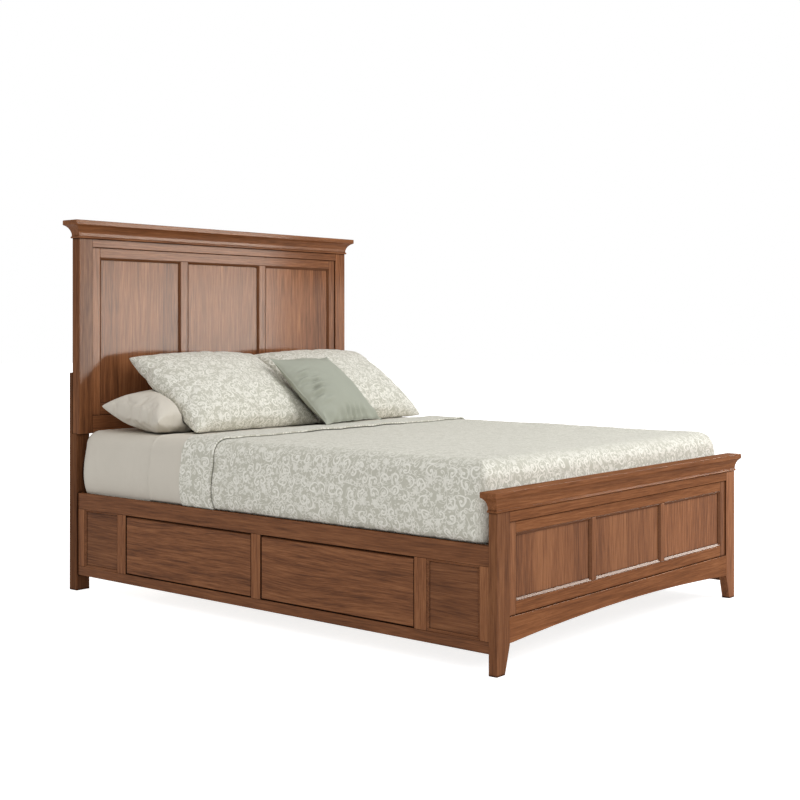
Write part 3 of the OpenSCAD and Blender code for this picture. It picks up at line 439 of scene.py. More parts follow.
# Each kind of board: the axis of its grain, its look, its nodes
CHERRY = {
    "upright": ("z", {"board": 0.173}, (
        "headboard_inner_stiles", "footboard_inner_stiles", "side_stiles_left",
        "side_stiles_right")),
    # Painted shade: the left posts take the same stain made darker, as the shade on the bed's
    # left.
    "upright_dark": ("z", {"depth": 0.80, "gloss": 0.8}, (
        "headboard_post_left", "footboard_post_left")),
    # Painted shade: the legs take the same stain made much darker, as the shade under the
    # headboard.
    "leg": ("z", {"depth": 0.60, "gloss": 0.5}, ("headboard_leg_left", "headboard_leg_right")),
    # Painted light: the right posts take the same stain made lighter, as the light from the bed's
    # right.
    "upright_light": ("z", {"depth": 1.22}, ("headboard_post_right", "footboard_post_right")),
    "crossways": ("x", {"depth": 1.04, "calm": 0.8}, (
        "headboard_crown", "headboard_top_rail", "headboard_bottom_rail",
        "headboard_inner_rails")),
    "crossways_foot": ("x", {"depth": 1.03, "gloss": 0.35, "calm": 0.75}, (
        "footboard_crown", "footboard_top_rail", "footboard_apron", "footboard_inner_rails")),
    # Painted shade with dark glazing: the headboard's mouldings take the same stain made darker.
    "moulding": ("x", {"depth": 0.70, "gloss": 0.8, "calm": 0.25}, (
        "headboard_panel_mouldings",)),
    # Painted shade: the footboard's mouldings take the same stain made darker; their stronger
    # lacquer catches the reflection cards.
    "foot_moulding": ("x", {"depth": 0.72, "gloss": 1.2, "calm": 0.25}, (
        "footboard_panel_mouldings",)),
    "panel": ("z", {"board": 0.118, "figure": 1.4}, (
        "headboard_panel_left", "headboard_panel_centre", "footboard_panel_left",
        "footboard_panel_centre")),
    # Painted light: the right panels take the same stain made lighter, as the light from the bed's
    # right.
    "panel_light": ("z", {"board": 0.118, "figure": 1.4, "depth": 1.16}, (
        "headboard_panel_right", "footboard_panel_right")),
    # Painted shade: the side rails and side mouldings take the same stain made darker, as the
    # shade on the bed's side.
    "lengthways": ("y", {"depth": 0.88}, (
        "side_top_rail_left", "side_top_rail_right", "side_bottom_rail_left",
        "side_bottom_rail_right", "side_panel_mouldings")),
    "front": ("y", {"figure": 1.7, "depth": 0.96, "calm": 1.25}, tuple(
        "drawer_front_" + place for place in DRAWERS)),
    # Painted shade: the side end panels take the same stain made darker, as the shade on the bed's
    # side.
    "end_panel": ("y", {"figure": 1.7, "depth": 0.80}, ("side_end_panels",)),
}
IN_GROOVES = ("panel", "panel_light")  # their edges aren't seen
BIRCH = {
    "lengthways": ("y", (*("drawer_box_" + place for place in DRAWERS), "drawer_case_left",
                         "drawer_case_right", "slat_cleats", "centre_beam")),
    "crossways": ("x", ("slats",)),
    "upright": ("z", ("support_feet",)),
}
STEEL = (
    "case_slides", "rail_brackets", "bolts", *("drawer_slides_" + place for place in DRAWERS))


def wear(nodes, material):
    """Gives the CAD nodes that material."""
    for name in nodes:
        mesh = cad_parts[name].data
        mesh.materials.clear()
        mesh.materials.append(material)


def sand_edges(nodes, width):
    """Joins each board's loose faces and rounds its edges by width."""
    for name in nodes:
        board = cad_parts[name]
        weld = board.modifiers.new("Joined", "WELD")
        weld.merge_threshold = SAME_PLACE
        bevel = board.modifiers.new("Sanded", "BEVEL")
        bevel.width = width
        bevel.segments = 2
        bevel.limit_method = "ANGLE"
        bevel.angle_limit = math.radians(40)
        bevel.harden_normals = True
        bevel.use_clamp_overlap = True


class BED_OT_stain_wood(bpy.types.Operator):
    """Stain and lacquer the cherry boards of the bed"""

    bl_idname = "bed.stain_wood"
    bl_label = "Stain the wood"

    def execute(self, context):
        for name, (axis, look, nodes) in CHERRY.items():
            wear(nodes, stained_cherry("cherry_" + name, axis, **look))
            if name not in IN_GROOVES:
                sand_edges(nodes, settings("bed_wood").edge)
        return {"FINISHED"}


class BED_OT_seal_deck(bpy.types.Operator):
    """Give the slats, drawer boxes and cases their pale sealed wood"""

    bl_idname = "bed.seal_deck"
    bl_label = "Seal the pale wood"

    def execute(self, context):
        for name, (axis, nodes) in BIRCH.items():
            wear(nodes, pale_board("birch_" + name, axis))
        return {"FINISHED"}


class BED_OT_plate_steel(bpy.types.Operator):
    """Give the slides, brackets and bolts their zinc plate"""

    bl_idname = "bed.plate_steel"
    bl_label = "Plate the steel"

    def execute(self, context):
        wear(STEEL, zinc_plate("zinc_plate"))
        return {"FINISHED"}


# Cloth


def crease_shaded(f, base, reach=0.014):
    """Darkens a cloth's colour as painted shade where it meets itself or another piece: within
    reach, found by ambient occlusion, it goes halfway to dark brown.
    """
    return f.mix(f.nook(reach, 0.86, 0.25) * 0.5, base, (0.12, 0.11, 0.09))


def weave_of(f, cloth):
    """Height of a plain weave on cloth, a place in metres: fine waves along times fine waves
    across, with uneven threads."""
    u, v, _ = f.parts(cloth)
    pitch = 2 * math.pi / THREAD
    warp = (u * pitch).math("SINE")
    weft = (v * pitch).math("SINE")
    slub = f.noise(f.join(u * 90.0, v * 700.0, 0.0), 1.0, 2.0)
    return warp * weft * 0.5 + slub


def plain_cloth(name, colour, depth=0.05, reach=0.014):
    """Washed plain-woven cotton: the colour drifts a little, under a fine weave. Within
    reach of its creases and of other pieces it is darkened as painted shade.
    """
    f = Finish(name)
    here = f.place()
    drift = f.noise(here, 7.0, 3.0)
    threads = f.noise(here, 900.0, 1.0)
    base = f.mix(drift * 0.6 + threads * 0.4, shade(colour, 1 - 1.6 * depth),
                 shade(colour, 1 + depth))
    return f.surface_of(Base_Color=crease_shaded(f, base, reach), Roughness=0.86 + drift * 0.08,
                        Specular_IOR_Level=0.03, Normal=f.bump(weave_of(f, here), 0.25, 0.0003))


def curls(f, cloth, size, turns, seed, thick):
    """Scrolls scattered over the cloth, one to a cell of that size. Round a cell's middle an
    arm winds in: its distance from the spiral r = (angle + n) / turns is kept under thick,
    and it ends in a bead. Cells chosen by chance hold a five-lobed blossom instead. Gives
    how much of each place is printed."""
    cell = f.vector("MULTIPLY_ADD", cloth, (1 / size,) * 3, (seed, seed * 0.7, 0.0))
    look = {"voronoi_dimensions": "2D"}
    values = {"Vector": cell, "Scale": 1.0, "Randomness": 0.62}
    heart = f.node("ShaderNodeTexVoronoi", look, values, out="Position")
    chance = f.node("ShaderNodeTexVoronoi", look, values, out="Color")
    lucky, hand, start = f.parts(chance)
    across, up, _ = f.parts(f.vector("SUBTRACT", cell, heart))
    side = hand.more(0.5) * 2.0 - 1.0
    radius = (across * across + up * up).power(0.5)
    angle = up.math("ARCTAN2", across) * side / (2 * math.pi) + start
    gap = abs((radius.power(0.75) * turns - angle).math("FRACT") - 0.5)
    arm = gap.smooth(thick + 0.07, thick - 0.03) * radius.smooth(0.52, 0.44)
    bead = radius.smooth(0.105, 0.07)
    lobes = (angle * (10 * math.pi)).math("COSINE")
    petal = (radius - lobes * 0.06).smooth(0.30, 0.25)
    vein = abs(lobes).smooth(0.55, 0.15) * radius.smooth(0.08, 0.12)
    blossom = petal * (0.9 - vein * 0.7)
    flower = lucky.more(0.80)
    return arm.math("MAXIMUM", bead) * (1.0 - flower) + blossom * flower


def tendrils(f, cloth, size, seed, thick):
    """Curving stems: the lines where a warped noise passes its middle value."""
    field = f.noise(f.vector("MULTIPLY_ADD", cloth, (1 / size,) * 3, (seed, 0.0, seed)), 1.0, 0.5)
    return abs(field - 0.5).smooth(thick, thick * 0.55)


def printed_cloth(name, fade):
    """Cotton with a pale scroll and vine print on a sage ground, on the piece's own UV map.
    Large scrolls, small ones between them, stems and leaves are laid over each other.
    Where the cloth lies level, away from the bed's sides, painted light washes the print
    out and painted shade darkens the colour towards the ground, both by fade. Where the
    cloth meets itself or another piece it is darkened as painted shade."""
    bedding = settings("bed_bedding")
    f = Finish(name)
    cloth = f.place("UV")
    size = bedding.repeat
    warp = f.vector("SUBTRACT", f.noise(cloth, 16.0, 1.0, out="Color"), (0.5, 0.5, 0.5))
    bent = f.vector("MULTIPLY_ADD", warp, (0.035, 0.035, 0.0), cloth)
    large = curls(f, bent, size, 2.4, 3.1, 0.125)
    small = curls(f, bent, size * 0.56, 1.7, 8.7, 0.125)
    stems = tendrils(f, bent, size * 0.55, 4.4, 0.022)
    leaves = f.node("ShaderNodeTexVoronoi", {"voronoi_dimensions": "2D"}, {
        "Vector": f.vector("MULTIPLY", bent, (1 / (size * 0.17), 1 / (size * 0.30), 1.0)),
        "Scale": 1.0, "Randomness": 0.9}).smooth(0.36, 0.27)
    patch = f.noise(bent, 26.0, 1.0).smooth(0.50, 0.56)
    fill = (small * 0.8).math("MAXIMUM", leaves * patch * 0.7)
    inked = large.math("MAXIMUM", fill.math("MAXIMUM", stems * 0.8) * (1.0 - large * 0.5))
    # Painted light and shade on the level top, away from the bed's sides: by fade, the print is
    # washed out and the colour darkened towards the ground.
    level = f.parts(f.node("ShaderNodeNewGeometry", out="Normal"))[2].smooth(0.50, 0.99)
    inward = abs(f.parts(f.place())[0]).smooth(0.84, 0.40)
    painted_top_wash = level * inward * fade
    faded = 0.80 + f.noise(cloth, 160.0, 2.0) * 0.30
    # The print's own uneven wear from faded, times the painted wash of the level top.
    worn_and_washed = (inked - 0.5) * (1.0 - painted_top_wash) * faded + 0.5 - (1.0 - faded) * 0.5
    drift = f.noise(cloth, 6.0, 2.0)
    base = f.mix(worn_and_washed, bedding.ground, bedding.scroll)
    toned_and_shaded = f.mix(drift * 0.12 + level * fade * 0.62, base, shade(bedding.ground, 0.8))
    return f.surface_of(Base_Color=crease_shaded(f, toned_and_shaded, 0.007), Roughness=0.86 + drift * 0.06,
                        Specular_IOR_Level=0.03, Sheen_Weight=0.12, Sheen_Roughness=0.5,
                        Normal=f.bump(weave_of(f, cloth), 0.2, 0.0003))


# Mesh


def wave_noise(points, size, seed, waves=28):
    """Smooth noise between about -1 and 1 at each point: the mean of cosine waves in random
    directions, whose lengths lie round size."""
    rng = np.random.default_rng(seed)
    way = rng.normal(size=(waves, 3))
    way /= np.linalg.norm(way, axis=1)[:, None]
    way *= (2 * np.pi / size) * rng.uniform(0.6, 1.5, (waves, 1))
    phase = rng.uniform(0, 2 * np.pi, waves)
    return np.cos(points @ way.T + phase).sum(-1) / math.sqrt(waves)


def up_to(first, last, count):
    """That many even steps from first, without last."""
    return np.linspace(first, last, count, endpoint=False)


def sheet_faces(rows, columns):
    """Quads of a grid of points whose number is row * columns + column."""
    first = np.arange(rows - 1)[:, None] * columns + np.arange(columns - 1)[None, :]
    return np.stack([first, first + 1, first + columns + 1, first + columns], -1).reshape(-1, 4)


def new_object(name, data):
    """A new object in the scene for that mesh, light or camera."""
    made = bpy.data.objects.new(name, data)
    bpy.context.scene.collection.objects.link(made)
    return made


def make_piece(name, points, cloth, material, slot, *nodes, faces=None):
    """Makes a smooth mesh of a grid of points, or of points and quads, with cloth as its UV
    map in metres. Joins points that coincide, and lets the piece ride with the bed's frame
    in place of the CAD nodes."""
    if faces is None:
        faces = sheet_faces(*points.shape[:2])
    mesh = bpy.data.meshes.new(name)
    mesh.from_pydata(points.reshape(-1, 3).tolist(), [], faces.tolist())
    corners = np.empty(len(mesh.loops), np.int64)
    mesh.loops.foreach_get("vertex_index", corners)
    layer = mesh.uv_layers.new(name="cloth")
    layer.data.foreach_set("uv", cloth.reshape(-1, 2)[corners].astype(np.float32).ravel())
    shape = bmesh.new()
    shape.from_mesh(mesh)
    bmesh.ops.remove_doubles(shape, verts=shape.verts, dist=SAME_PLACE)
    bmesh.ops.dissolve_degenerate(shape, edges=shape.edges, dist=SAME_PLACE / 2)
    shape.to_mesh(mesh)
    shape.free()
    mesh.shade_smooth()
    mesh.materials.append(material)
    piece = new_object(name, mesh)
    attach(piece, FRAME_BODY)
    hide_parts(*nodes)
    return piece


def thicken(piece, thickness):
    """Gives a sheet its thickness, inwards from its outer face."""
    wall = piece.modifiers.new("Thickness", "SOLIDIFY")
    wall.thickness = thickness
    wall.offset = -1.0
    wall.use_even_offset = False


# Bedding


def pushed(points, push, out, upward):
    """The points moved by push along the cover's normal. The left half's outward side is -x."""
    return points + np.stack([-push * out, 0 * push, push * upward], -1)


def side_profile(off, low):
    """Cross-section of a cover that lies off over the mattress, from its lower edge at height
    low to the middle line: (growth of the outline, height, outward part and upward part of
    its normal, distance along the cloth). Its side swells like a sine, then comes a quarter
    of a circle and the flat top."""
    bed = settings("bed_bedding")
    start = MATTRESS_TOP - bed.edge_round
    radius = bed.edge_round + off
    height = up_to(low, start, SIDE_ROWS)
    rise = np.clip((height - RAIL_TOP) / (start - RAIL_TOP), 0, 1)
    swell = bed.bulge * np.sin(np.pi * rise**0.85) * (1 - 0.25 * rise)
    bend = up_to(0, np.pi / 2, EDGE_ROWS)
    inset = np.linspace(bed.edge_round, bed.half_width, TOP_ROWS)
    grow = np.concatenate([swell + off, radius * np.cos(bend) - bed.edge_round, -inset])
    level = np.concatenate([height, start + radius * np.sin(bend),
                            np.full(TOP_ROWS, MATTRESS_TOP + off)])
    out = np.concatenate([np.ones(SIDE_ROWS), np.cos(bend), np.zeros(TOP_ROWS)])
    upward = np.concatenate([np.zeros(SIDE_ROWS), np.sin(bend), np.ones(TOP_ROWS)])
    run = np.concatenate([radius * np.pi / 2 + start - height - bed.edge_round,
                          radius * (np.pi / 2 - bend) - bed.edge_round, -inset])
    return [part[:, None] for part in (grow, level, out, upward, run)]


def half_outline(grow, head, foot):
    """Left half of the mattress's outline grown by grow, from y = head down its left side,
    round a quarter of a circle at the corner and to the middle of its foot."""
    bed = settings("bed_bedding")
    half = bed.half_width + grow
    radius = np.minimum(np.maximum(bed.corner + grow, 0.004), half)
    centre = foot - grow + radius
    down = up_to(0, 1, SIDE_COLUMNS)[None, :]
    turn = np.pi * (1 + up_to(0, 0.5, CORNER_COLUMNS)[None, :])
    inward = np.linspace(0, 1, FOOT_COLUMNS)[None, :]
    x = [-half + 0 * down, radius * (1 + np.cos(turn)) - half, (radius - half) * (1 - inward)]
    y = [head + (centre - head) * down, centre + radius * np.sin(turn), foot - grow + 0 * inward]
    return np.concatenate(x, 1), np.concatenate(y, 1)


def mirrored(points, cloth, axis=1):
    """Adds the right half of a cover, a mirror image of the left one, and gives both halves'
    points and cloth places. Rows run up the cross-section, columns along the cover, and the
    halves meet at the end of that axis of the grid."""
    return [np.concatenate([half, np.delete(np.flip(half, axis), 0, axis) * flip], axis)
            for half, flip in ((points, (-1, 1, 1)), (cloth, (-1, 1)))]


class BED_OT_make_mattress(bpy.types.Operator):
    """Make the mattress in its fitted sheet"""

    bl_idname = "bed.make_mattress"
    bl_label = "Mattress"

    def execute(self, context):
        bed = settings("bed_bedding")
        radius = bed.lower_edge
        grow, level, out, upward, run = side_profile(0.0, MATTRESS_BASE + radius)
        bend = up_to(0, np.pi / 2, 6)[:, None]
        flat = up_to(-bed.half_width, -radius, 20)[:, None]
        under = np.concatenate([flat, radius * (np.sin(bend) - 1)])
        grow = np.concatenate([under, grow])
        level = np.concatenate([0 * flat + MATTRESS_BASE,
                                MATTRESS_BASE + radius * (1 - np.cos(bend)), level])
        clear = bed.half_width + 0.4  # keeps the underside's cloth places apart from the side's
        run = np.concatenate([clear - under, run])
        out = np.concatenate([0 * flat, np.sin(bend), out])
        upward = np.concatenate([0 * flat - 1, -np.cos(bend), upward])
        middle = (MATTRESS_HEAD + MATTRESS_FOOT) / 2
        x, y = half_outline(grow, middle, MATTRESS_FOOT)
        u, v = half_outline(run, middle, MATTRESS_FOOT)
        points = np.stack([x, y, level + 0 * x], -1)
        soft = wave_noise(points * (1, 1, 0.35), 0.16, 11) * 0.0011
        crease = wave_noise(points * (1, 1, 0.12), 0.045, 12) * 0.0007
        visible = np.clip((level - MATTRESS_BASE) / 0.05, 0, 1)
        points = pushed(points, (soft + crease - 0.0026) * visible, out, upward * 0.6)
        points[:, -1, 0] = 0.0
        front, cloth = mirrored(points, np.stack([u, v], -1))
        back = front[:, ::-1] * (1, -1, 1) + (0, 2 * middle, 0)
        swell = np.clip((back[..., 1] - MATTRESS_HEAD + 0.16) / 0.12, 0, 1) ** 2 * visible
        back[..., 0] += 0.005 * swell * np.sign(back[..., 0]) * out
        back[..., 1] += 0.003 * swell
        back[..., 2] += 0.010 * swell * upward
        whole = np.concatenate([front, back[:, 1:]], 1)
        whole_cloth = np.concatenate([cloth, cloth[:, ::-1][:, 1:] * (1, -1)], 1)
        piece = make_piece(
            "fitted_sheet_mattress", whole, whole_cloth,
            plain_cloth("fitted_sheet_cotton", bed.plain), "plain_bedding", "mattress")
        return {"FINISHED"}


class BED_OT_turn_sheet(bpy.types.Operator):
    """Lay the turned-over end of the top sheet across the mattress"""

    bl_idname = "bed.turn_sheet"
    bl_label = "Top sheet"

    def execute(self, context):
        bed = settings("bed_bedding")
        off = SHEET_TOP - MATTRESS_TOP
        grow, level, out, upward, run = side_profile(off, RAIL_TOP + 0.001)
        y = np.linspace(SHEET_EDGE, DUVET_FOLD + 0.0004, 48)[None, :]
        lift = 0.0038 * np.clip((y - SHEET_EDGE + 0.016) / 0.016, 0, 1) ** 1.5
        left = np.stack([-(bed.half_width + grow + lift * out), y + 0 * grow,
                         level + lift * upward], -1)
        wrinkle = wave_noise(left * (1, 1, 0.3), 0.09, 21) * 0.0006
        left = pushed(left, wrinkle + 0.0006, out, upward)
        left[-1, :, 0] = 0.0
        left_cloth = np.stack([-(bed.half_width + run) + 0 * y, y + 0 * run], -1)
        piece = make_piece(
            "turned_top_sheet", *mirrored(left, left_cloth, axis=0),
            plain_cloth("top_sheet_cotton", bed.plain), "plain_bedding", "top_sheet")
        thicken(piece, bed.sheet_thickness)
        return {"FINISHED"}


class BED_OT_spread_duvet(bpy.types.Operator):
    """Spread the duvet over the mattress and turn its head end back"""

    bl_idname = "bed.spread_duvet"
    bl_label = "Duvet"

    def execute(self, context):
        bed = settings("bed_bedding")
        thick = bed.duvet_thickness
        off = thick + 0.0008
        grow, level, out, upward, run = side_profile(off, RAIL_TOP + 0.0006)
        turn = DUVET_FOLD - thick - 0.0004
        x, y = half_outline(grow, turn, MATTRESS_FOOT)
        u, v = half_outline(run, DUVET_FOLD, MATTRESS_FOOT)
        base = np.stack([x, y, level + 0 * x], -1)
        free_edge = DUVET_FOLD - bed.flap
        step = 0.0006
        flat = up_to(free_edge, turn, 60)[None, :]
        bend = up_to(np.pi / 2, -np.pi / 2, 9)[None, :]
        edge_wave = 0.006 * wave_noise(np.stack([0 * level, run, 0 * run], -1), 0.16, 31)
        fade = np.clip((DUVET_FOLD - flat) / bed.flap, 0, 1) ** 2
        over_y = np.concatenate([flat + edge_wave * fade,
                                 turn + step / 2 * np.cos(bend) + 0 * level], 1)
        slack = np.where(-grow > 0.06, np.where(-grow < 0.46, 0.3, 1.4), 1.0)
        hem = 0.0026 * slack * np.clip(1 - (flat - free_edge) / 0.022, 0, 1) ** 2
        over_lift = np.concatenate([step + hem, step / 2 * (1 + np.sin(bend)) + 0 * grow], 1)
        over = np.stack([-(bed.half_width + grow + over_lift * out), over_y,
                         level + over_lift * upward], -1)
        over_cloth = np.stack([-(bed.half_width + run) + 0 * over_y,
                               2 * DUVET_FOLD - over_y], -1)
        left = np.concatenate([over, base], 1)
        cloth = np.concatenate([over_cloth, np.stack([u, v], -1)], 1)
        puff = (wave_noise(left * (1, 1, 0.6), 0.20, 32) + 1.0) * 0.0012
        fine = wave_noise(left * (1, 1, 0.25), 0.035, 33) * 0.0005
        low = np.clip(1 - (level - RAIL_TOP) / 0.035, 0, 1) ** 2
        tuck = low * (0.002 + 0.0035 * np.clip(wave_noise(left * (1, 1, 0), 0.05, 34), 0, 2))
        left = pushed(left, np.maximum(puff + fine, -0.0002) - tuck, out, upward)
        left[:, -1, 0] = 0.0
        left[-1, :, 0] = 0.0
        piece = make_piece(
            "duvet_turned_back", *mirrored(left, cloth),
            printed_cloth("scroll_print_cotton", 0.50), "patterned_bedding", "duvet")
        thicken(piece, thick)
        return {"FINISHED"}


# Pillows


def turn_about_x(angle):
    c, s = math.cos(angle), math.sin(angle)
    return np.array([[1, 0, 0], [0, c, -s], [0, s, c]])


def turn_about_z(angle):
    c, s = math.cos(angle), math.sin(angle)
    return np.array([[c, -s, 0], [s, c, 0], [0, 0, 1]])


def case_numbers():
    """Vertex numbers of a sewn case's front and rear grids, which share their rim."""
    front = np.arange(CASE_ROWS * CASE_COLUMNS).reshape(CASE_ROWS, CASE_COLUMNS)
    rear = front.copy()
    inner = rear[1:-1, 1:-1]
    inner[:] = front.size + np.arange(inner.size).reshape(inner.shape)
    return front, rear


def case_faces(front, rear):
    """Outward quads of a sewn case."""
    def quads(grid, flip):
        sides = [grid[:-1, :-1], grid[:-1, 1:], grid[1:, 1:], grid[1:, :-1]]
        return np.stack(sides[::-1] if flip else sides, -1).reshape(-1, 4)
    return np.concatenate([quads(front, True), quads(rear, False)])


def case_grid():
    """Places u, v from -1 to 1 on a case, closer together towards its rim."""
    def spaced(count):
        even = np.linspace(-1, 1, count)
        return 0.55 * even + 0.45 * np.sin(even * np.pi / 2)
    return np.meshgrid(spaced(CASE_ROWS), spaced(CASE_COLUMNS), indexing="ij")


def dome_case(size, pull, firm, ears=2, seam=0.0):
    """Front and rear of a stuffed case lying flat round the origin. For u, v from -1 to 1,
    x = w/2 u (1 - pull (1 - |v|^ears)), y = d/2 v (1 - pull (1 - |u|^ears)) and
    z = t/2 ((1 - u^2)(1 - v^2))^firm, where u and v are first divided by 1 - seam: outside
    that the case is a thin flat seam."""
    u, v = case_grid()
    x = size[0] / 2 * u * (1 - pull * (1 - np.abs(v) ** ears))
    y = size[1] / 2 * v * (1 - pull * (1 - np.abs(u) ** ears))
    a, b = (np.minimum(np.abs(part) / (1 - seam), 1) for part in (u, v))
    z = size[2] / 2 * ((1 - a * a) * (1 - b * b)) ** firm
    z += 0.0009 * np.clip((1 - np.abs(u)) * 50, 0, 1) * np.clip((1 - np.abs(v)) * 50, 0, 1)
    return np.stack([x, y, z], -1), np.stack([x, y, -z], -1)


def blown_case(size, seed, stiff=14.0, frames=22):
    """Front and rear of a sewn case after a cloth simulation: two flat layers joined at
    their rim, 12% over size and with a few faint random waves, are blown up by an even
    pressure. The result is then scaled to the size."""
    u, v = case_grid()
    flat = np.stack([u * size[0] * 0.56, v * size[1] * 0.56, 0 * u], -1)
    rise = 0.012 * (1 - u**2) * (1 - v**2) * (1 + 0.5 * wave_noise(flat, 0.15, seed))
    up = np.stack([0 * u, 0 * u, rise], -1)
    front_number, rear_number = case_numbers()
    points = np.zeros((rear_number.max() + 1, 3))
    points[rear_number] = flat - up
    points[front_number] = flat + up
    mesh = bpy.data.meshes.new("case")
    mesh.from_pydata(points.tolist(), [], case_faces(front_number, rear_number).tolist())
    case = new_object("case", mesh)
    scene = bpy.context.scene
    cloth = case.modifiers.new("Cloth", "CLOTH")
    cloth.settings.quality = 7
    cloth.settings.mass = 0.25
    cloth.settings.tension_stiffness = stiff
    cloth.settings.compression_stiffness = stiff
    cloth.settings.shear_stiffness = stiff / 2
    cloth.settings.bending_stiffness = 0.4
    cloth.settings.air_damping = 3.0
    cloth.settings.use_pressure = True
    cloth.settings.uniform_pressure_force = 5.0
    cloth.settings.effector_weights.gravity = 0.0
    cloth.point_cache.frame_start = 1
    cloth.point_cache.frame_end = frames
    for number in range(1, frames + 1):
        scene.frame_set(number)
    blown = case.evaluated_get(bpy.context.evaluated_depsgraph_get()).to_mesh()
    places = np.empty(len(blown.vertices) * 3)
    blown.vertices.foreach_get("co", places)
    bpy.data.objects.remove(case)
    scene.frame_set(1)
    places = places.reshape(-1, 3)
    places -= (places.max(0) + places.min(0)) / 2
    places *= np.array(size) / (2 * places.max(0))
    return places[front_number], places[rear_number]


def eased(field, passes):
    """The field after that many passes of averaging each place with its four neighbours."""
    for _ in range(passes):
        wide = np.pad(field, ((1, 1), (1, 1), (0, 0)), mode="edge")
        field = (field + wide[2:, 1:-1] + wide[:-2, 1:-1] + wide[1:-1, 2:] + wide[1:-1, :-2]) / 5
    return field


def stuffed_case(size, seed, keep, passes, **form):
    """Front and rear of a stuffed case. A simulated case gives its wrinkles to the dome:
    its difference from the dome, less that difference eased, is added, times keep. At
    the rim both faces take the mean of the two."""
    dome = dome_case(size, **form)
    blown = blown_case(size, seed)
    wrinkles = [keep * (loose - plain - eased(loose - plain, passes))
                for plain, loose in zip(dome, blown)]
    u, v = case_grid()
    inside = np.clip((1 - u * u) * (1 - v * v) * 5, 0, 1)[..., None]
    shared = (wrinkles[0] + wrinkles[1]) / 2 * (1 - inside)
    return [plain + shared + inside * own for plain, own in zip(dome, wrinkles)]


def pressed(rear, back, tip=0.0):
    """Presses the rear flat on the plane z = tip x - back. 1 mm of depth is always left."""
    flat = rear.copy()
    flat[..., 2] = -np.minimum(-rear[..., 2], np.maximum(back - tip * rear[..., 0], 0.001))
    return flat


def stuffed_piece(name, front, rear, material, slot, *nodes):
    """Closes a front and a rear grid into one cushion; its cloth lies as it was cut."""
    front_number, _ = case_numbers()
    spread = [np.linalg.norm(np.diff(line, axis=0), axis=-1)
              for line in (front[:, CASE_COLUMNS // 2], front[CASE_ROWS // 2])]
    along = [np.concatenate([[0], np.cumsum(part)]) for part in spread]
    cloth = np.stack(np.meshgrid(*along, indexing="ij"), -1)
    both = np.concatenate([front.reshape(-1, 3), rear.reshape(-1, 3)])
    both_cloth = np.concatenate([cloth.reshape(-1, 2), (cloth + 1.0).reshape(-1, 2)])
    both_faces = case_faces(front_number, front_number + front_number.size)
    piece = make_piece(name, both, both_cloth, material, slot, *nodes, faces=both_faces)
    soften = piece.modifiers.new("Smooth", "SUBSURF")
    soften.levels = soften.render_levels = 1
    return piece


def lowest(points, angle):
    """How far a form's lowest point lies under its middle once it leans by angle."""
    return -(points @ turn_about_x(angle).T)[..., 2].min()


def sham_place(side):
    """Middle of the sham on that side (-1 or 1), before it leans."""
    form = settings("bed_pillows")
    rear = pressed(dome_case(form.sham_size, **SHAM_FORM)[1], form.sham_back)
    return np.array([
        form.sham_meet + side * (form.sham_size[0] / 2 + 0.0003),
        HEADBOARD_FRONT - form.sham_run + form.sham_size[1] / 2 * math.cos(form.sham_lean),
        SHEET_TOP - 0.004 + lowest(rear, form.sham_lean)])


def under_sham(points, side):
    """Presses points under the flat back of the sham on that side. Past the sham's outer
    end the limit rises away."""
    form = settings("bed_pillows")
    place = sham_place(side)
    normal = np.array([0, -math.sin(form.sham_lean), math.cos(form.sham_lean)])
    past = side * (points[..., 0] - place[0]) - form.sham_size[0] / 2 + 0.02
    limit = 2.2 * np.clip(past, 0, 0.2) - form.sham_back - 0.0006
    beyond = np.maximum((points - place) @ normal - limit, 0)
    return points - beyond[..., None] * normal


def above(points, floor):
    """The points, with none of them under a level floor."""
    return np.maximum(points, (-np.inf, -np.inf, floor))


def sagged(points, sag):
    """Lets a leaning case's lower corners sink by sag."""
    u, v = case_grid()
    fall = sag * np.clip(-(v + 0.2) / 0.8, 0, 1) ** 2 * (0.3 + 0.7 * u * u)
    return points - fall[..., None] * (0, 0, 1)


class BED_OT_fill_pillows(bpy.types.Operator):
    """Lay the two plain pillows against the headboard"""

    bl_idname = "bed.fill_pillows"
    bl_label = "Plain pillows"

    def execute(self, context):
        form = settings("bed_pillows")
        cotton = plain_cloth("pillow_cotton", settings("bed_bedding").plain)
        for side, name in ((-1, "plain_pillow_left"), (1, "plain_pillow_right")):
            front, rear = stuffed_case(
                form.plain_size, seed=41 + side, keep=1.0, passes=150, pull=0.05, firm=0.48)
            way = turn_about_x(form.plain_tilt).T
            at = np.array([side * form.plain_place[0], HEADBOARD_FRONT - form.plain_place[1],
                           MATTRESS_TOP + form.plain_place[2]])
            front, rear = (under_sham(part @ way + at, side) for part in (front, rear))
            piece = stuffed_piece(
                name, above(front, MATTRESS_TOP + FRONT_GAP), above(rear, MATTRESS_TOP + REAR_GAP),
                cotton, "plain_bedding", "pillows")
        return {"FINISHED"}


class BED_OT_fill_shams(bpy.types.Operator):
    """Lean the two printed shams on the plain pillows"""

    bl_idname = "bed.fill_shams"
    bl_label = "Shams"

    def execute(self, context):
        form = settings("bed_pillows")
        cotton = printed_cloth("sham_print_cotton", 0.12)
        for side, name in ((-1, "sham_left"), (1, "sham_right")):
            front, rear = stuffed_case(
                form.sham_size, seed=51 + side, keep=0.6, passes=60, **SHAM_FORM)
            rear = pressed(rear, form.sham_back)
            way = turn_about_x(form.sham_lean).T
            at = sham_place(side)
            front, rear = (sagged(part @ way + at, form.sham_sag) for part in (front, rear))
            piece = stuffed_piece(
                name + "_cover", above(front, SHEET_TOP + FRONT_GAP),
                above(rear, SHEET_TOP + REAR_GAP), cotton, "patterned_bedding", name)
        return {"FINISHED"}


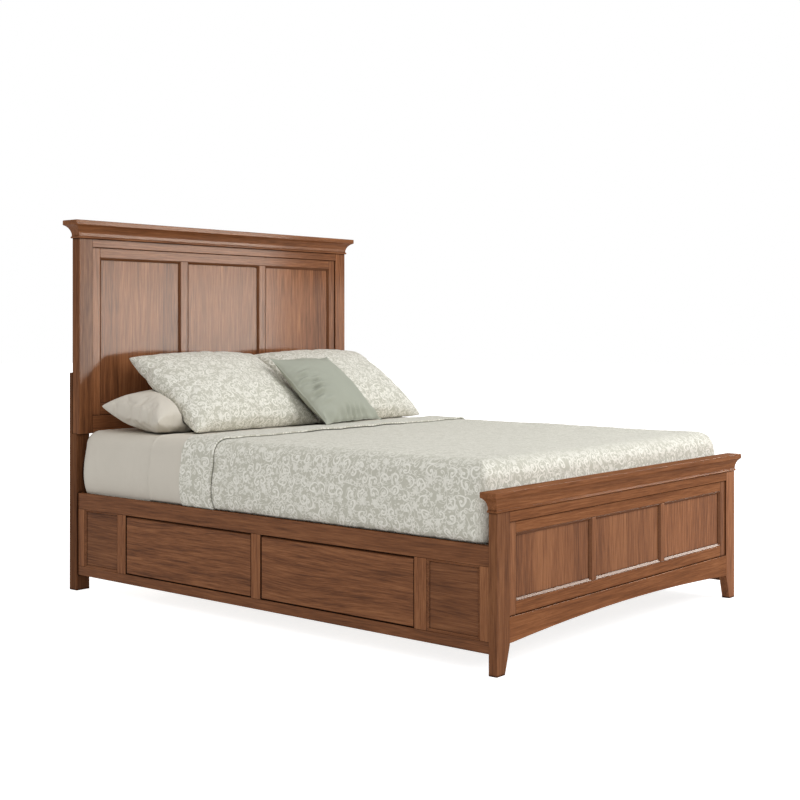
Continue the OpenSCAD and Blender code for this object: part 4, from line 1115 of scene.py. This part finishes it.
class BED_OT_fill_accent(bpy.types.Operator):
    """Lean the small accent cushion on the right sham"""

    bl_idname = "bed.fill_accent"
    bl_label = "Accent cushion"

    def execute(self, context):
        form = settings("bed_pillows")
        # The accent's wide reach of 0.03 m darkens its valleys and its contact with the sham as
        # painted shade.
        linen = plain_cloth("accent_linen", settings("bed_bedding").accent, 0.09, 0.03)
        front, rear = stuffed_case(form.accent_size, seed=61, keep=0.5, passes=50,
                                   pull=0.055, firm=0.62, ears=7, seam=0.03)
        u, v = case_grid()
        gather = np.exp(-((u + 0.70) / 0.22) ** 2) * np.clip(1.4 - 2 * np.abs(v + 0.05), 0, 1)
        gather *= np.sin(27 * v + 2.0 * np.sin(5 * v) + 5 * u) + 0.6 * np.sin(44 * v - 7 * u)
        foot = np.exp(-((v + 0.84) / 0.12) ** 2) * np.sin(27 * u + 2.5 * np.sin(5 * u))
        rim = np.clip((1 - np.abs(u)) * 12, 0, 1) * np.clip((1 - np.abs(v)) * 12, 0, 1)
        front[..., 2] += (0.0112 * gather + 0.0090 * foot) * rim
        rear = pressed(rear, form.accent_back, 0.2)
        way = turn_about_x(form.accent_lean).T
        spin = turn_about_z(form.accent_turn).T
        middle = np.array([0, form.accent_size[1] / 2 * math.cos(form.accent_lean), 0])
        at = np.array([form.accent_place[0], HEADBOARD_FRONT - form.accent_place[1],
                       FLAP_TOP - 0.004 + lowest(rear, form.accent_lean)])
        front, rear = ((part @ way + middle) @ spin + at for part in (front, rear))
        piece = stuffed_piece("accent_cushion_cover", front, above(rear, FLAP_TOP + REAR_GAP),
                              linen, "accent_fabric", "accent_cushion")
        return {"FINISHED"}


# Studio


def backdrop_look(name):
    """White to the eye and in reflections, while only its own diffuse part lights the bed;
    under the bed that part is lost, which keeps the shadow."""
    f = Finish(name)
    material = f.surface_of(
        Base_Color=(0.78, 0.78, 0.78), Roughness=1.0, Specular_IOR_Level=0.0)
    matt = Wire(f, f.tree.nodes["Principled BSDF"].outputs[0])
    glow = f.node("ShaderNodeEmission", None, {"Color": (1, 1, 1), "Strength": 0.80 * f.watched()})
    both = f.node("ShaderNodeAddShader", None, {0: matt, 1: glow})
    f.set_input("Material Output", "Surface", both)
    return material


def area_light(name, place, aim, size, power):
    """A soft oblong light at place that faces aim. The camera doesn't see it."""
    data = bpy.data.lights.new(name, "AREA")
    data.shape = "RECTANGLE"
    data.size, data.size_y = size
    data.energy = power
    lamp = new_object(name, data)
    lamp.location = place
    way = np.array(aim, float) - np.array(place, float)
    turn = math.atan2(way[1], way[0]) - math.pi / 2
    tilt = math.atan2(math.hypot(way[0], way[1]), -way[2])
    lamp.rotation_euler = (tilt, 0.0, turn)
    lamp.visible_camera = False
    return lamp


class BED_OT_set_stage(bpy.types.Operator):
    """Set the camera, the white floor and the soft lights"""

    bl_idname = "bed.set_stage"
    bl_label = "Studio"

    def execute(self, context):
        studio = settings("bed_studio")
        data = bpy.data.cameras.new("camera")
        data.lens = studio.lens
        data.sensor_width = 36.0
        data.shift_y = studio.drop
        data.clip_end = 100.0
        camera = new_object("camera", data)
        camera.location = studio.eye
        camera.rotation_euler = (math.pi / 2, 0.0, studio.heading)
        context.scene.camera = camera

        mesh = bpy.data.meshes.new("floor")
        reach = 30.0
        mesh.from_pydata([(-reach, -reach, 0), (reach, -reach, 0), (reach, reach, 0),
                          (-reach, reach, 0)], [], [(0, 1, 2, 3)])
        mesh.materials.append(backdrop_look("studio_white"))
        floor = new_object("floor", mesh)

        area_light("key", (1.6, -4.2, 3.6), (0.0, -0.1, 0.5), (2.9, 2.9), studio.key)
        for card in (
                area_light("reflection_card", (2.33, -2.03, 1.65), (0.37, 0.24, 1.65),
                           (1.5, 2.4), 250),
                area_light("low_reflection_card", (2.68, -1.73, 0.98), (0.72, 0.54, 0.98),
                           (2.4, 0.86), 46)):
            card.visible_diffuse = False
            card.data.color = studio.reflection

        world = Finish("studio", world=True)
        light = studio.sky + (1.0 - studio.sky) * world.watched()
        world.set_input("Background", "Color", (1, 1, 1))
        world.set_input("Background", "Strength", light)
        context.scene.world = world.owner
        context.scene.view_settings.view_transform = "Standard"
        return {"FINISHED"}


OPERATORS = (
    BED_OT_stain_wood, BED_OT_seal_deck, BED_OT_plate_steel, BED_OT_make_mattress,
    BED_OT_turn_sheet, BED_OT_spread_duvet, BED_OT_fill_pillows, BED_OT_fill_shams,
    BED_OT_fill_accent, BED_OT_set_stage)
GROUPS = {
    "bed_wood": WoodSettings, "bed_bedding": BeddingSettings, "bed_pillows": PillowSettings,
    "bed_studio": StudioSettings}


class BED_PT_panel(bpy.types.Panel):
    """The bed's sizes and steps in the sidebar"""

    bl_label = "Bed"
    bl_idname = "BED_PT_panel"
    bl_space_type = "VIEW_3D"
    bl_region_type = "UI"
    bl_category = "Bed"

    def draw(self, context):
        for group in GROUPS:
            box = self.layout.box()
            values = getattr(context.scene, group)
            for name in values.bl_rna.properties.keys():
                if name not in ("rna_type", "name"):
                    box.prop(values, name)
        for operator in OPERATORS:
            self.layout.operator(operator.bl_idname)


def register():
    for group, kind in GROUPS.items():
        bpy.utils.register_class(kind)
        setattr(bpy.types.Scene, group, bpy.props.PointerProperty(type=kind))
    for kind in (*OPERATORS, BED_PT_panel):
        bpy.utils.register_class(kind)


def unregister():
    for kind in (BED_PT_panel, *reversed(OPERATORS)):
        bpy.utils.unregister_class(kind)
    for group, kind in reversed(GROUPS.items()):
        delattr(bpy.types.Scene, group)
        bpy.utils.unregister_class(kind)


def main():
    register()
    for operator in OPERATORS:
        getattr(bpy.ops.bed, operator.bl_idname.split(".")[1])()


if __name__ == "__main__":
    main()
